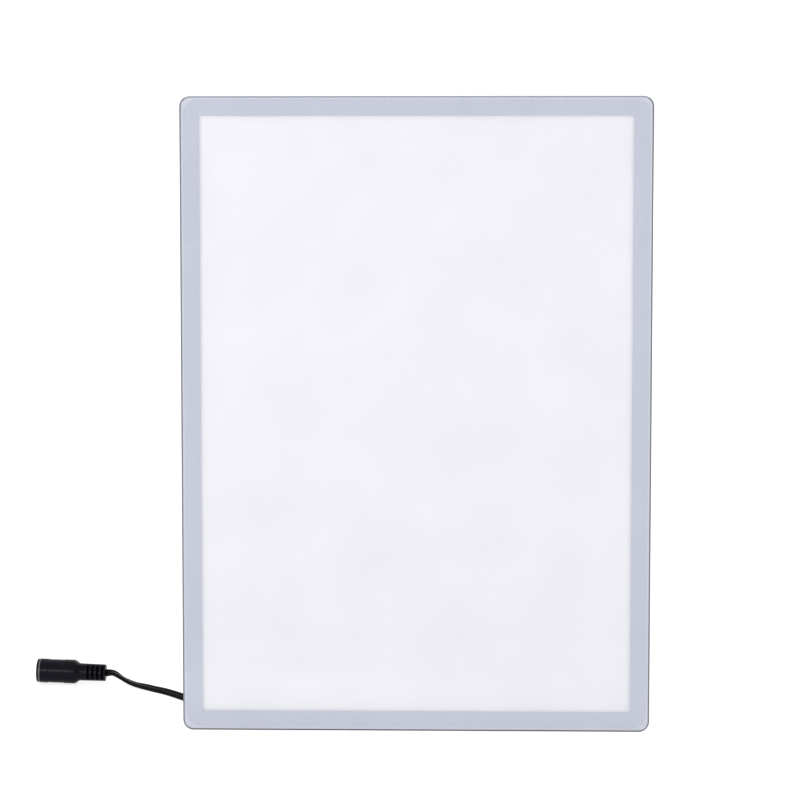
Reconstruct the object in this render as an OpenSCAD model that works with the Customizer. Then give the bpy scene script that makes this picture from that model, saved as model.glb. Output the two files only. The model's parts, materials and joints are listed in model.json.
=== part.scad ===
// Slim edge-lit display panel that leans back on a fold-out leg.
// Millimetres. X runs to the viewer's right, Y away from the viewer and Z up.
// The table is Z = 0, and the origin is the middle of the footprint on it.

/* [Front sheet] */
// Width of the clear front sheet
panel_w = 226; // [190:1:300]
// Height of the clear front sheet
panel_h = 306; // [270:1:400]
// Radius of the front sheet's corners
corner_r = 5; // [3:0.5:10]
// Thickness of the front sheet
sheet_t = 3; // [2:0.5:5]
// Polished chamfer round the front sheet's face
edge_chamfer = 0.8; // [0.3:0.1:1]
// How far the front sheet overhangs the frame
overhang = 2; // [1.5:0.25:4]
// Backward lean of the panel, in degrees
lean = 10; // [6:1:15]
// Gap between the lowest hard edge and the table
table_gap = 0.4; // [0.3:0.1:2]

/* [Border print] */
// Thickness of the silver border film
print_t = 0.2; // [0.1:0.05:0.4]
// Clear margin between the border film and the sheet's edge
print_margin = 0.2; // [0.1:0.1:1.4]
// How far the border reaches past the lip that it hides
border_cover = 0.8; // [0.2:0.1:2]
// Corner radius of the clear window
window_r = 1; // [0.5:0.5:6]

/* [Frame rails] */
// Thickness of the rails' front plate
rail_plate_t = 1.5; // [1.2:0.1:2.5]
// Thickness of the rails' outer wall
rail_wall_t = 1.4; // [1:0.1:2]
// Width of the rim that the front sheet rests on
rim_w = 6; // [5.5:0.25:9]
// Width of the recessed lip inside the rim
lip_w = 1; // [0.8:0.1:2]
// Depth of the picture pocket in front of the lip
pocket_depth = 0.5; // [0.3:0.1:0.8]
// Overlap of the lip on the sheets at the top and bottom
lip_hold = 0.8; // [0.5:0.1:1.2]

/* [Light stack] */
// Thickness of the opal diffuser
diffuser_t = 1.2; // [0.8:0.1:2]
// Thickness of the light guide plate
guide_t = 4; // [3:0.5:6]
// Thickness of the reflector film
reflector_t = 0.3; // [0.2:0.1:0.6]
// Depth of the wiring space behind the reflector
wiring_gap = 2.5; // [2:0.1:4]
// Thickness of the back panel
back_t = 2; // [1.5:0.25:3]
// Step from the rails' rear edges down to the back panel
back_step = 0.2; // [0.1:0.1:1]
// Length of a foam pressure pad
pad_l = 180; // [120:5:200]
// Width of a foam pressure pad
pad_w = 12; // [8:1:20]
// Distance of a pad's middle from the frame's side
pad_in = 26; // [20:1:32]

/* [LED strips] */
// Thickness of an LED board
board_t = 1; // [0.8:0.1:1.6]
// Width of an LED board
board_w = 5; // [4:0.25:6]
// Length of an LED chip along its board
led_l = 3.5; // [2:0.1:4]
// Width of an LED chip across its board
led_w = 2.8; // [1.4:0.1:3]
// Height of an LED chip
led_t = 0.8; // [0.6:0.1:1.2]
// Spacing of the LED chips
led_pitch = 9; // [6:0.5:20]
// Air gap between the LED chips and the light guide
led_gap = 0.8; // [0.4:0.1:1.5]
// Diameter of an inner wire
wire_d = 1.2; // [0.8:0.1:1.4]

/* [Magnets] */
// Length of a bar magnet
magnet_l = 10; // [6:0.5:14]
// Width of a bar magnet
magnet_w = 3; // [2:0.25:3.5]
// Length of a steel keeper strip
keeper_l = 16; // [12:0.5:20]
// Width of a steel keeper strip
keeper_w = 4; // [3.5:0.1:4.6]
// Thickness of a steel keeper strip
keeper_t = 0.8; // [0.5:0.1:1.2]

/* [Corners and back screws] */
// Length of a corner key's leg, from the frame's corner
key_leg = 17; // [15:0.5:24]
// Thickness of a corner key's leg
key_t = 2.2; // [1.6:0.1:3]
// Diameter of a corner key's screw boss
boss_d = 5.2; // [4:0.1:6]
// Diameter of a frame screw's shank
screw_d = 2; // [1.6:0.1:2.4]
// Diameter of a frame screw's head
screw_head_d = 3.8; // [3.2:0.1:4.4]
// Height of a pan head
screw_head_t = 1.3; // [1:0.1:1.6]
// Depth of a countersunk head
countersink_t = 0.9; // [0.7:0.1:1]
// Length of a back screw's thread beyond the back panel
screw_grip = 6; // [4:0.5:7]
// Distance of a corner screw from the frame's corner
corner_screw_in = 12; // [11.5:0.25:13]
// Length of a screw block
block_l = 12; // [8:0.5:16]

/* [Foot pads] */
// Length of a foot pad
pad_foot_l = 36; // [20:1:60]
// Width of a foot pad, front to back
pad_foot_w = 8; // [5:0.5:9]
// Distance of a foot pad from the frame's front
pad_foot_in = 1.8; // [1:0.1:2.5]
// Distance of a foot pad from the frame's side
pad_foot_side = 20; // [10:1:40]

/* [Hinge] */
// Height of the hinge pin, measured up the panel
hinge_height = 215; // [150:1:240]
// Diameter of the hinge pin
pin_d = 3; // [2:0.25:4]
// Diameter of the hinge pin's head
pin_head_d = 5; // [4.5:0.25:7]
// Thickness of the hinge pin's head
pin_head_t = 1.2; // [0.8:0.1:2]
// Outer diameter of the pin's retaining clip
clip_d = 6.4; // [5.5:0.1:8]
// Thickness of the pin's retaining clip
clip_t = 0.6; // [0.4:0.1:1]
// Depth of the clip's groove in the pin
clip_groove = 0.3; // [0.2:0.05:0.5]
// Diameter of the leg's knuckle
knuckle_d = 6.8; // [6:0.2:9]
// Length of the leg's knuckle
knuckle_l = 40; // [40:1:50]
// Diameter of a hinge washer
washer_d = 7; // [6:0.25:8]
// Thickness of a hinge washer
washer_t = 0.5; // [0.3:0.1:1]
// Thickness of the bracket's base plate
bracket_t = 1.5; // [1.2:0.1:2.5]
// Width of the bracket's tab outside each ear
bracket_tab = 9; // [8:0.5:14]
// Reach of the bracket's base plate below the pin
bracket_below = 11; // [9:0.5:16]
// Reach of the bracket's base plate above the pin
bracket_above = 15; // [14:0.5:20]
// Thickness of a bracket ear
ear_t = 2; // [1.5:0.25:3]
// Metal round the pin in a bracket ear
ear_wall = 3; // [2:0.25:4]
// Gap between the knuckle and the bracket's base plate
knuckle_gap = 0.7; // [0.4:0.1:1.5]
// Diameter of a bracket screw's shank
bracket_screw_d = 2.5; // [2:0.1:3]
// Diameter of a bracket screw's head
bracket_head_d = 4.6; // [4:0.1:5.5]
// Height of a bracket screw's head
bracket_head_t = 1.6; // [1.2:0.1:2]
// Spacing of the bracket screws up the panel
bracket_pitch = 12; // [8:0.5:14]
// Thickness of the tapped plate inside the back panel
tap_plate_t = 1.5; // [1:0.1:1.8]

/* [Leg] */
// How far behind the hinge pin the foot stands
leg_reach = 32; // [24:1:36]
// Thickness of the leg's plate
leg_t = 2.5; // [1.5:0.25:3]
// Width of the leg at the hinge
leg_top_w = 38; // [28:1:39]
// Width of the leg at the foot
leg_foot_w = 70; // [50:1:100]
// Distance from the pin to where the leg starts to widen
leg_neck = 14; // [12:1:30]
// Length of the heel that stops the leg, above the pin
heel_l = 11.5; // [11:0.1:13]
// Depth of the leg's side flanges
flange_d = 2.5; // [1.5:0.1:2.6]
// Thickness of the leg's side flanges
flange_t = 2; // [1.5:0.25:3]
// Height of the rubber foot
foot_h = 12; // [8:0.5:20]
// Thickness of the rubber foot, front to back
foot_t = 7; // [5:0.25:8]
// Rubber between the leg's end and the table
sole_t = 3; // [2:0.25:5]
// Rubber beyond each side of the leg's end
foot_side = 2; // [1:0.25:4]

/* [Lead and jack] */
// Distance of the cord entry to the left of the middle
entry_x = 50; // [40:1:80]
// Height of the cord entry, measured up the panel
entry_z = 16; // [14:0.5:24]
// Diameter of the grommet's neck in the back panel
grommet_d = 6.4; // [5:0.2:8]
// Diameter of the grommet's flange
flange_disc_d = 10; // [9:0.25:14]
// Thickness of the grommet's flange
flange_disc_t = 1.5; // [1:0.1:2.5]
// Side of the grommet's square inner end
grommet_inner = 8; // [7:0.25:10]
// Length of the grommet's tapered snout
snout_l = 9; // [6:0.5:16]
// Diameter of the snout where the cord leaves it
snout_d = 5.6; // [4.6:0.1:6]
// Width of the flat twin cord
cord_w = 4; // [3:0.1:4.5]
// Thickness of the flat twin cord
cord_t = 2; // [1.6:0.1:2.4]
// Length of the jack, with its ribbed neck
jack_l = 35.1; // [32:0.1:40]
// Largest diameter of the jack
jack_d = 12.2; // [11.4:0.1:13]
// Step between the jack's grip rings and its waist
jack_step = 0.15; // [0.1:0.05:0.4]
// Diameter of the jack's ribbed neck at its cord end
neck_d = 8.5; // [8:0.1:9]
// Diameter of the jack's ribbed neck at the jack's body
neck_root_d = 8.8; // [8.5:0.1:10]
// Length of the jack's ribbed neck
neck_l = 13.1; // [11:0.1:15]
// Length of the taper between the neck and the jack's body
taper_l = 2.7; // [2:0.1:5]
// Length of the grip ring at the jack's mouth
front_ring_l = 4.6; // [2:0.1:6]
// Length of the grip ring behind the jack's waist
rear_ring_l = 5.4; // [2:0.1:8]
// Number of grooves in each side of the neck
groove_count = 4; // [2:1:4]
// Distance of the first groove from the neck's end
groove_end = 1; // [0.5:0.1:2]
// Spacing of the grooves in the neck
groove_pitch = 2.45; // [2:0.05:2.6]
// Width of a groove in the neck
groove_w = 1.2; // [0.6:0.1:1.4]
// Thickness of the web between the grooves of the neck's two sides
groove_web = 4.4; // [4.2:0.1:7]
// Turn of the neck's grooves about the jack's axis
groove_roll = 20; // [0:5:45]
// Diameter of the jack's hard core
core_d = 10.6; // [9:0.1:10.7]
// Length of the jack's hard core
core_l = 16; // [14:0.5:17]
// Diameter of the collar at the core's face
collar_d = 11.9; // [11:0.1:12]
// Thickness of the collar at the core's face
collar_t = 1; // [0.4:0.1:1.5]
// Chamfer round the collar's face
collar_edge = 0.3; // [0.2:0.1:0.4]
// Diameter of the jack's socket
socket_d = 5.6; // [5.5:0.1:6.5]
// Depth of the jack's socket
socket_depth = 10; // [9:0.5:11]
// Thickness of the sleeve contact
contact_t = 0.4; // [0.3:0.05:0.6]
// Depth of the sleeve contact below the jack's face
contact_in = 1.5; // [1:0.1:2.5]
// Diameter of the jack's centre pin
jack_pin_d = 2; // [1.8:0.1:2.6]
// Diameter of the centre pin's root in the core
pin_root_d = 3; // [2.8:0.1:4]
// Length of the centre pin's root in the core
pin_root_l = 2; // [1:0.25:4]
// Distance of the centre pin's tip below the jack's face
jack_pin_in = 1; // [0.5:0.1:2]

/* [Clearances] */
// Gap on each side of a close fit
fit_gap = 0.05; // [0.02:0.01:0.1]
// Gap round the sheets of the light stack
sheet_gap = 0.4; // [0.2:0.05:0.8]
// Gap round a magnet in its slot
magnet_gap = 0.2; // [0.1:0.05:0.4]
// Gap on each side of the running hinge pin
pin_gap = 0.05; // [0.02:0.01:0.1]
// Gap at each end of the running knuckle
end_gap = 0.1; // [0.05:0.05:0.3]

/* [Hidden] */
$fn = 64;

// Overshoot of a cut past the face that it leaves
cut = 1;

// Depths behind the front sheet's face
print_y = sheet_t;
frame_y = print_y + print_t;
stack_y = frame_y + rail_plate_t;
guide_y = stack_y + diffuser_t;
reflector_y = guide_y + guide_t;
wiring_y = reflector_y + reflector_t;
back_y = wiring_y + wiring_gap;
outer_y = back_y + back_t;
frame_end_y = outer_y + back_step;

// Frame outline, inside the front sheet's overhang
frame_w = panel_w - 2 * overhang;
frame_h = panel_h - 2 * overhang;
lip_reach = rim_w + lip_w;
border_w = overhang + lip_reach + border_cover;

// Distances inward from the frame's outer faces
key_in = rail_wall_t + fit_gap;
key_face = key_in + key_t;
side_edge = max(rail_wall_t + board_t + led_t + led_gap, key_face + sheet_gap);
end_edge = lip_reach - lip_hold;
block_w = end_edge - sheet_gap - rail_wall_t;
boss_in = key_in + sheet_gap + boss_d / 2;
corner_notch = boss_in + boss_d / 2 + sheet_gap;
screw_line = rail_wall_t + block_w / 2;
magnet_line = rail_wall_t + keeper_w / 2;
back_edge = rail_wall_t + sheet_gap / 2;
key_depth = back_y - stack_y;
corner_screw_y = (stack_y + back_y) / 2;
corner_screw_l = rail_wall_t + fit_gap + key_t - sheet_gap;

// Stations of the magnets and screw blocks between the corner keys
station_count = 6;
magnet_stations = [0, 2, 3, 5];
block_stations = [1, 4];
free_l = frame_w - 2 * key_leg;
function station(i) = free_l * ((i + 0.5) / station_count - 0.5);

// LED boards between the corner keys
board_l = frame_h - 2 * (key_leg + cut);
board_y = guide_y + guide_t / 2;
led_count = floor((board_l - 2 * led_pitch) / led_pitch) + 1;

// Lowest hard edge of the leaning panel, lifted clear of the table
sheet_drop = sheet_t * sin(lean);
rail_drop = frame_end_y * sin(lean) - overhang * cos(lean);
lift = table_gap + max(sheet_drop, rail_drop);

// Hinge and leg, seen from the side
pin_off = bracket_t + knuckle_gap + knuckle_d / 2;
pin_y = outer_y + pin_off;
pin_height = hinge_height * cos(lean) - pin_y * sin(lean) + lift;
pin_back = hinge_height * sin(lean) + pin_y * cos(lean);
leg_slope = atan2(leg_reach, pin_height);
leg_l = norm([leg_reach, pin_height]);
open_angle = lean + leg_slope;
washer_x = knuckle_l / 2 + end_gap;
ear_x = washer_x + washer_t + fit_gap;
ear_end = ear_x + ear_t;
ear_r = pin_d / 2 + ear_wall;
bracket_w = 2 * (ear_end + bracket_tab);
bracket_screw_x = ear_end + bracket_tab / 2;
pin_end = ear_end + fit_gap + clip_t + pin_d / 2;

// Middle of the footprint, from the front sheet's edge to the back of the leg's foot
front_y = edge_chamfer * sin(lean);
rear_y = pin_back + leg_reach + foot_t / 2 / cos(leg_slope);
shift_y = -(front_y + rear_y) / 2;

// Cord entry, in the panel's own frame
tip_y = outer_y + flange_disc_t + snout_l;
wire_y = wiring_y + wiring_gap / 2;

// The jack lies on the table behind the panel's left side, its mouth to the left.
// It rests on its rear ring, and the mouth is tipped up a little.
jack_turn = 180;
jack_tilt = 2;
body_x = neck_l + taper_l;
neck_end = [-159.65, 64.8, jack_d / 2 * cos(jack_tilt) - body_x * sin(jack_tilt)];
core_x = jack_l - core_l;
shell_front = jack_l - collar_t - fit_gap;

// Route of the cord over the table, between the grommet and the jack
cord_lead = 4;
cord_route = [
  [-51, 36, 10.5],
  [-54, 40, 8.6],
  [-60, 42, 6.4],
  [-67, 42, 4.4],
  [-75, 41, 2.6],
  [-83, 39.5, 1.5],
  [-91, 38, 1],
  [-99, 37, 1],
  [-106, 36.6, 1],
  [-112, 37.6, 1],
  [-117.5, 42, 1],
  [-123, 46.5, 1],
  [-128.5, 50.5, 1],
  [-134, 53.7, 1],
  [-139.5, 57.2, 1.1],
  [-144, 59.2, 1.5],
  [-148, 61.2, 2.3],
  [-151.5, 62.8, 3.6]
];

// Point of the leaning panel in the table's frame, without the shift of the origin
function on_table(p) = [
  p[0],
  p[1] * cos(lean) + p[2] * sin(lean),
  p[2] * cos(lean) - p[1] * sin(lean) + lift
];

function unit(v) = v / norm(v);

// Direction of a route at each of its points
function heading(route, i) =
  unit(route[min(i + 1, len(route) - 1)] - route[max(i - 1, 0)]);

// Ring of a tube's section, square to the route
function ring(p, along, up, section) =
  let (side = unit(cross(along, up)), over = cross(side, along))
  [for (q = section) p + q[0] * side + q[1] * over];

function tube_points(route, up, section) = [
  for (i = [0 : len(route) - 1])
  each ring(route[i], heading(route, i), up, section)
];

function tube_faces(rings, n) = [
  [for (k = [0 : n - 1]) k],
  [for (k = [n - 1 : -1 : 0]) (rings - 1) * n + k],
  for (i = [0 : rings - 2])
  for (k = [0 : n - 1])
  let (a = i * n + k, b = i * n + (k + 1) % n)
  each [[a, a + n, b], [b, a + n, b + n]]
];

function round_section(d, n) = [
  for (k = [0 : n - 1]) d / 2 * [cos(360 * k / n), sin(360 * k / n)]
];

// Two round cores side by side, joined by a web
function twin_section() =
  let (r = cord_t / 2, c = cord_w / 2 - r, web = r / 2)
  [
    for (a = [-108, -54, 0, 54, 108]) [c + r * cos(a), r * sin(a)],
    [0, web],
    for (a = [72, 126, 180, 234, 288]) [-c + r * cos(a), r * sin(a)],
    [0, -web]
  ];

module tube(route, up, section) {
  polyhedron(tube_points(route, up, section), tube_faces(len(route), len(section)), convexity = 6);
}

// Placement

module on_floor() {
  translate([0, shift_y, 0]) children();
}

module in_panel() {
  on_floor() translate([0, 0, lift]) rotate([-lean, 0, 0]) children();
}

module at_bottom() {
  translate([0, 0, overhang]) children();
}

module at_top() {
  translate([0, 0, panel_h - overhang]) rotate([0, 180, 0]) children();
}

module at_left() {
  translate([-frame_w / 2, 0, panel_h / 2]) rotate([0, 90, 0]) children();
}

module at_right() {
  translate([frame_w / 2, 0, panel_h / 2]) rotate([0, -90, 0]) children();
}

// The four corners of the frame, each with X and Z running inward
module at_corners() {
  for (side = [0, 1], end = [0, 1])
  translate([(side * 2 - 1) * frame_w / 2, 0, overhang + end * frame_h])
  mirror([side, 0, 0])
  mirror([0, 0, end])
  children();
}

// The screw blocks of the top and bottom rails
module at_blocks() {
  for (i = block_stations) {
    at_bottom() translate([station(i), 0, 0]) children();
    at_top() translate([station(i), 0, 0]) children();
  }
}

module at_magnets() {
  for (i = magnet_stations) {
    at_bottom() translate([station(i), 0, magnet_line]) children();
    at_top() translate([station(i), 0, magnet_line]) children();
  }
}

module at_hinge() {
  translate([0, outer_y, hinge_height]) children();
}

module at_bracket_screws() {
  for (sx = [-1, 1], sz = [-1, 1])
  at_hinge()
  translate([sx * bracket_screw_x, 0, sz * bracket_pitch / 2])
  children();
}

module at_pin() {
  translate([0, pin_y, hinge_height]) children();
}

module in_leg() {
  in_panel() at_pin() rotate([open_angle, 0, 0]) children();
}

module at_jack() {
  on_floor()
  translate(neck_end)
  rotate([0, 0, jack_turn])
  rotate([0, 90 - jack_tilt, 0])
  children();
}

// Half space under the table
module below_table() {
  reach = panel_h;
  translate([-reach, -reach, -reach]) cube([2 * reach, 2 * reach, reach]);
}

// Shared shapes

// Box that is centred on X, with its other low edges given
module box(w, y, d, z, h) {
  translate([-w / 2, y, z]) cube([w, d, h]);
}

// Cylinder that runs back along Y
module rod_y(d, y, l) {
  translate([0, y, 0]) rotate([-90, 0, 0]) cylinder(d = d, h = l);
}

// Cylinder that runs along X, centred
module rod_x(d, l) {
  rotate([0, 90, 0]) cylinder(d = d, h = l, center = true);
}

module rounded_rect(w, h, r) {
  square([w - 2 * r, h], center = true);
  square([w, h - 2 * r], center = true);
  for (sx = [-1, 1], sy = [-1, 1])
  translate([sx * (w / 2 - r), sy * (h / 2 - r)])
  circle(r = r);
}

// Section of a chamfered plate: full width below, drawn in at the top
function plate_section(w, t, c) = [
  [-w / 2, 0], [w / 2, 0], [w / 2, t - c], [w / 2 - c, t], [-w / 2 + c, t], [-w / 2, t - c]
];

// Plate in the XY plane, centred, with round corners and its top edge chamfered
module chamfered_plate(w, h, t, r, c) {
  translate([0, h / 2 - r, 0])
  rotate([90, 0, 0])
  linear_extrude(h - 2 * r)
  polygon(plate_section(w, t, c));
  translate([r - w / 2, 0, 0])
  rotate([90, 0, 90])
  linear_extrude(w - 2 * r)
  polygon(plate_section(h, t, c));
  for (sx = [-1, 1], sy = [-1, 1])
  translate([sx * (w / 2 - r), sy * (h / 2 - r), 0]) {
    cylinder(r = r, h = t - c);
    translate([0, 0, t - c]) cylinder(r1 = r, r2 = r - c, h = c);
  }
}

// Stands a flat plate up behind the front face, its top towards the viewer
module upright(y, t) {
  translate([0, y + t, panel_h / 2]) rotate([90, 0, 0]) children();
}

// Mitred rail along X, its outer face at Z = 0 and its inside at +Z
module rail(l) {
  section = [
    [frame_y, 0], [frame_y, rim_w],
    [frame_y + pocket_depth, rim_w], [frame_y + pocket_depth, lip_reach],
    [stack_y, lip_reach], [stack_y, rail_wall_t],
    [frame_end_y, rail_wall_t], [frame_end_y, 0]
  ];
  end = l / 2 - fit_gap;
  difference() {
    intersection() {
      translate([-l / 2, 0, 0]) rotate([90, 0, 90]) linear_extrude(l) polygon(section);
      translate([0, frame_end_y, 0])
      rotate([90, 0, 0])
      linear_extrude(frame_end_y - frame_y)
      polygon([[-end, 0], [end, 0], [end - lip_reach, lip_reach], [lip_reach - end, lip_reach]]);
    }
    for (sx = [-1, 1])
    translate([sx * (l / 2 - corner_screw_in), corner_screw_y, 0])
    screw_hole();
  }
}

// Countersunk screw hole through a rail's wall, along Z
module screw_hole() {
  translate([0, 0, -cut]) cylinder(d = screw_d + 2 * fit_gap, h = 2 * cut + rail_wall_t);
  translate([0, 0, -fit_gap])
  cylinder(d1 = screw_head_d + 2 * fit_gap, d2 = screw_d + 2 * fit_gap, h = countersink_t + fit_gap);
  translate([0, 0, -cut]) cylinder(d = screw_head_d + 2 * fit_gap, h = cut);
}

module slotted_rail(l) {
  difference() {
    rail(l);
    for (i = magnet_stations)
    translate([station(i), 0, magnet_line - magnet_w / 2 - magnet_gap])
    box(magnet_l + 2 * magnet_gap, frame_y - cut, rail_plate_t + 2 * cut, 0, magnet_w + 2 * magnet_gap);
  }
}

// Sheet of the light stack, notched at its corners for the screw bosses
module stack_sheet(y, t) {
  difference() {
    box(frame_w - 2 * side_edge, y, t, overhang + end_edge, frame_h - 2 * end_edge);
    at_corners() translate([0, y - cut, 0]) cube([corner_notch, t + 2 * cut, corner_notch]);
  }
}

// Board on the inner face of a side rail, along X
module led_board() {
  box(board_l, board_y - board_w / 2, board_w, rail_wall_t, board_t);
}

module led_row() {
  for (i = [0 : led_count - 1])
  translate([(i - (led_count - 1) / 2) * led_pitch, 0, 0])
  box(led_l, board_y - led_w / 2, led_w, rail_wall_t + board_t, led_t);
}

// Two wires from the grommet's side to a board's lower end; towards is -1 for left and 1 for right
module lead_wires(towards) {
  start_x = towards * (grommet_inner / 2 + fit_gap) - entry_x;
  turn_x = towards * (frame_w / 2 - side_edge - 2 * wire_d);
  board_x = towards * (frame_w / 2 - rail_wall_t - board_t - wire_d / 2 - fit_gap);
  board_end = panel_h / 2 - board_l / 2;
  for (s = [-1, 1]) {
    entry = entry_z + s * wire_d;
    end = board_end + (3 + s) * wire_d;
    tube(
      [
        [start_x, wire_y, entry],
        [start_x + towards * 2 * wire_d, wire_y, entry],
        [turn_x - towards * 8 * wire_d, wire_y, entry],
        [turn_x - towards * 4 * wire_d, wire_y, (entry + end) / 2],
        [turn_x, wire_y, end],
        [board_x - towards * wire_d / 2, wire_y - wire_d / 4, end],
        [board_x, wire_y - wire_d, end],
        [board_x, board_y, end]
      ],
      [0, 0, 1],
      round_section(wire_d, 6)
    );
  }
}

// Pan-head screw along Y, its head on the face at y and its shank running forward
module pan_screw(d, head_d, head_t, y, grip) {
  rod_y(head_d, y, head_t);
  rod_y(d, y - grip, grip);
}

// Front cover

module cover_sheet() {
  color("aliceblue", 0.35)
  in_panel()
  upright(0, sheet_t)
  chamfered_plate(panel_w, panel_h, sheet_t, corner_r, edge_chamfer);
}

module border_print() {
  color("silver")
  in_panel()
  upright(print_y, print_t)
  linear_extrude(print_t)
  difference() {
    rounded_rect(panel_w - 2 * print_margin, panel_h - 2 * print_margin, corner_r - print_margin);
    rounded_rect(panel_w - 2 * border_w, panel_h - 2 * border_w, window_r);
  }
}

module cover_magnets() {
  color("lightgray")
  in_panel()
  at_magnets()
  box(magnet_l, frame_y, rail_plate_t - fit_gap, -magnet_w / 2, magnet_w);
}

// Frame

module rail_left() {
  color("gainsboro") in_panel() at_left() rail(frame_h);
}

module rail_right() {
  color("gainsboro") in_panel() at_right() rail(frame_h);
}

module rail_top() {
  color("gainsboro") in_panel() at_top() slotted_rail(frame_w);
}

module rail_bottom() {
  color("gainsboro") in_panel() at_bottom() slotted_rail(frame_w);
}

module corner_key() {
  tap_d = screw_d + 2 * fit_gap;
  leg = key_leg - key_in;
  difference() {
    union() {
      translate([key_in, stack_y, key_in]) cube([leg, key_depth, key_t]);
      translate([key_in, stack_y, key_in]) cube([key_t, key_depth, leg]);
      translate([boss_in, 0, boss_in]) rod_y(boss_d, stack_y, key_depth);
    }
    translate([boss_in, 0, boss_in]) rod_y(tap_d, back_y - screw_grip - fit_gap, screw_grip + cut);
    translate([corner_screw_in, corner_screw_y, key_in - cut]) cylinder(d = tap_d, h = key_t + 2 * cut);
    translate([key_in - cut, corner_screw_y, corner_screw_in])
    rotate([0, 90, 0])
    cylinder(d = tap_d, h = key_t + 2 * cut);
  }
}

module corner_keys() {
  color("darkgray") in_panel() at_corners() corner_key();
}

module countersunk_screw() {
  cylinder(d1 = screw_head_d, d2 = screw_d, h = countersink_t);
  cylinder(d = screw_d, h = corner_screw_l);
}

module corner_screws() {
  color("dimgray")
  in_panel()
  at_corners() {
    translate([corner_screw_in, corner_screw_y, 0]) countersunk_screw();
    translate([0, corner_screw_y, corner_screw_in]) rotate([0, 90, 0]) countersunk_screw();
  }
}

module keeper_strips() {
  color("slategray")
  in_panel()
  at_magnets()
  box(keeper_l, stack_y, keeper_t, -keeper_w / 2, keeper_w);
}

module screw_blocks() {
  color("darkgray")
  in_panel()
  at_blocks()
  difference() {
    box(block_l, stack_y, key_depth, rail_wall_t, block_w);
    translate([0, 0, screw_line])
    rod_y(screw_d + 2 * fit_gap, back_y - screw_grip - fit_gap, screw_grip + cut);
  }
}

module foot_pads() {
  color("dimgray")
  difference() {
    in_panel()
    for (sx = [-1, 1])
    translate([sx * (frame_w / 2 - pad_foot_side - pad_foot_l / 2), 0, 0])
    box(pad_foot_l, frame_y + pad_foot_in, pad_foot_w, -frame_end_y, frame_end_y + overhang);
    below_table();
  }
}

// Light stack

module diffuser_sheet() {
  color("white") in_panel() stack_sheet(stack_y, diffuser_t);
}

module light_guide() {
  color("lightcyan") in_panel() stack_sheet(guide_y, guide_t);
}

module reflector_sheet() {
  color("whitesmoke") in_panel() stack_sheet(reflector_y, reflector_t);
}

module pressure_pads() {
  color("gray")
  in_panel()
  for (sx = [-1, 1])
  translate([sx * (frame_w / 2 - pad_in), 0, panel_h / 2])
  box(pad_w, wiring_y, wiring_gap, -pad_l / 2, pad_l);
}

module led_board_left() {
  color("ivory") in_panel() at_left() led_board();
}

module led_board_right() {
  color("ivory") in_panel() at_right() led_board();
}

module leds_left() {
  color("khaki") in_panel() at_left() led_row();
}

module leds_right() {
  color("khaki") in_panel() at_right() led_row();
}

module lead_wires_left() {
  color("firebrick") in_panel() lead_wires(-1);
}

module lead_wires_right() {
  color("firebrick") in_panel() lead_wires(1);
}

// Back

module back_panel() {
  hole_y = back_y - cut;
  hole_l = back_t + 2 * cut;
  color("whitesmoke")
  in_panel()
  difference() {
    box(frame_w - 2 * back_edge, back_y, back_t, overhang + back_edge, frame_h - 2 * back_edge);
    at_corners() translate([boss_in, 0, boss_in]) rod_y(screw_d + 2 * fit_gap, hole_y, hole_l);
    at_blocks() translate([0, 0, screw_line]) rod_y(screw_d + 2 * fit_gap, hole_y, hole_l);
    at_bracket_screws() rod_y(bracket_screw_d + 2 * fit_gap, -back_t - cut, hole_l);
    translate([-entry_x, 0, entry_z]) rod_y(grommet_d + 2 * fit_gap, hole_y, hole_l);
  }
}

module back_screws() {
  color("dimgray")
  in_panel() {
    at_corners()
    translate([boss_in, 0, boss_in])
    pan_screw(screw_d, screw_head_d, screw_head_t, outer_y, back_t + screw_grip);
    at_blocks()
    translate([0, 0, screw_line])
    pan_screw(screw_d, screw_head_d, screw_head_t, outer_y, back_t + screw_grip);
  }
}

// Hinge

module hinge_backplate() {
  color("darkgray")
  in_panel()
  difference() {
    at_hinge()
    box(bracket_w, -back_t - tap_plate_t, tap_plate_t, -bracket_below, bracket_below + bracket_above);
    at_bracket_screws()
    rod_y(bracket_screw_d + 2 * fit_gap, -back_t - tap_plate_t - cut, tap_plate_t + 2 * cut);
  }
}

module hinge_bracket() {
  color("darkgray")
  in_panel()
  difference() {
    at_hinge() {
      box(bracket_w, 0, bracket_t, -bracket_below, bracket_below + bracket_above);
      for (sx = [-1, 1])
      translate([sx * (ear_x + ear_t / 2), 0, 0]) {
        box(ear_t, 0, pin_off, -ear_r, 2 * ear_r);
        translate([0, pin_off, 0]) rod_x(2 * ear_r, ear_t);
      }
    }
    at_pin() rod_x(pin_d + 2 * fit_gap, 2 * ear_end + cut);
    at_bracket_screws() rod_y(bracket_screw_d + 2 * fit_gap, -cut, bracket_t + 2 * cut);
  }
}

module bracket_screws() {
  color("dimgray")
  in_panel()
  at_bracket_screws()
  pan_screw(bracket_screw_d, bracket_head_d, bracket_head_t, bracket_t, bracket_t + back_t + tap_plate_t);
}

module hinge_pin() {
  groove_x = ear_end + fit_gap;
  color("silver")
  in_panel()
  at_pin()
  difference() {
    union() {
      translate([-ear_end - fit_gap, 0, 0])
      rotate([0, 90, 0])
      cylinder(d = pin_d, h = pin_end + ear_end + fit_gap);
      translate([-ear_end - fit_gap - pin_head_t, 0, 0])
      rotate([0, 90, 0])
      cylinder(d = pin_head_d, h = pin_head_t);
    }
    translate([groove_x + clip_t / 2, 0, 0])
    difference() {
      rod_x(pin_d + cut, clip_t);
      rod_x(pin_d - 2 * clip_groove, clip_t + cut);
    }
  }
}

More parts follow.
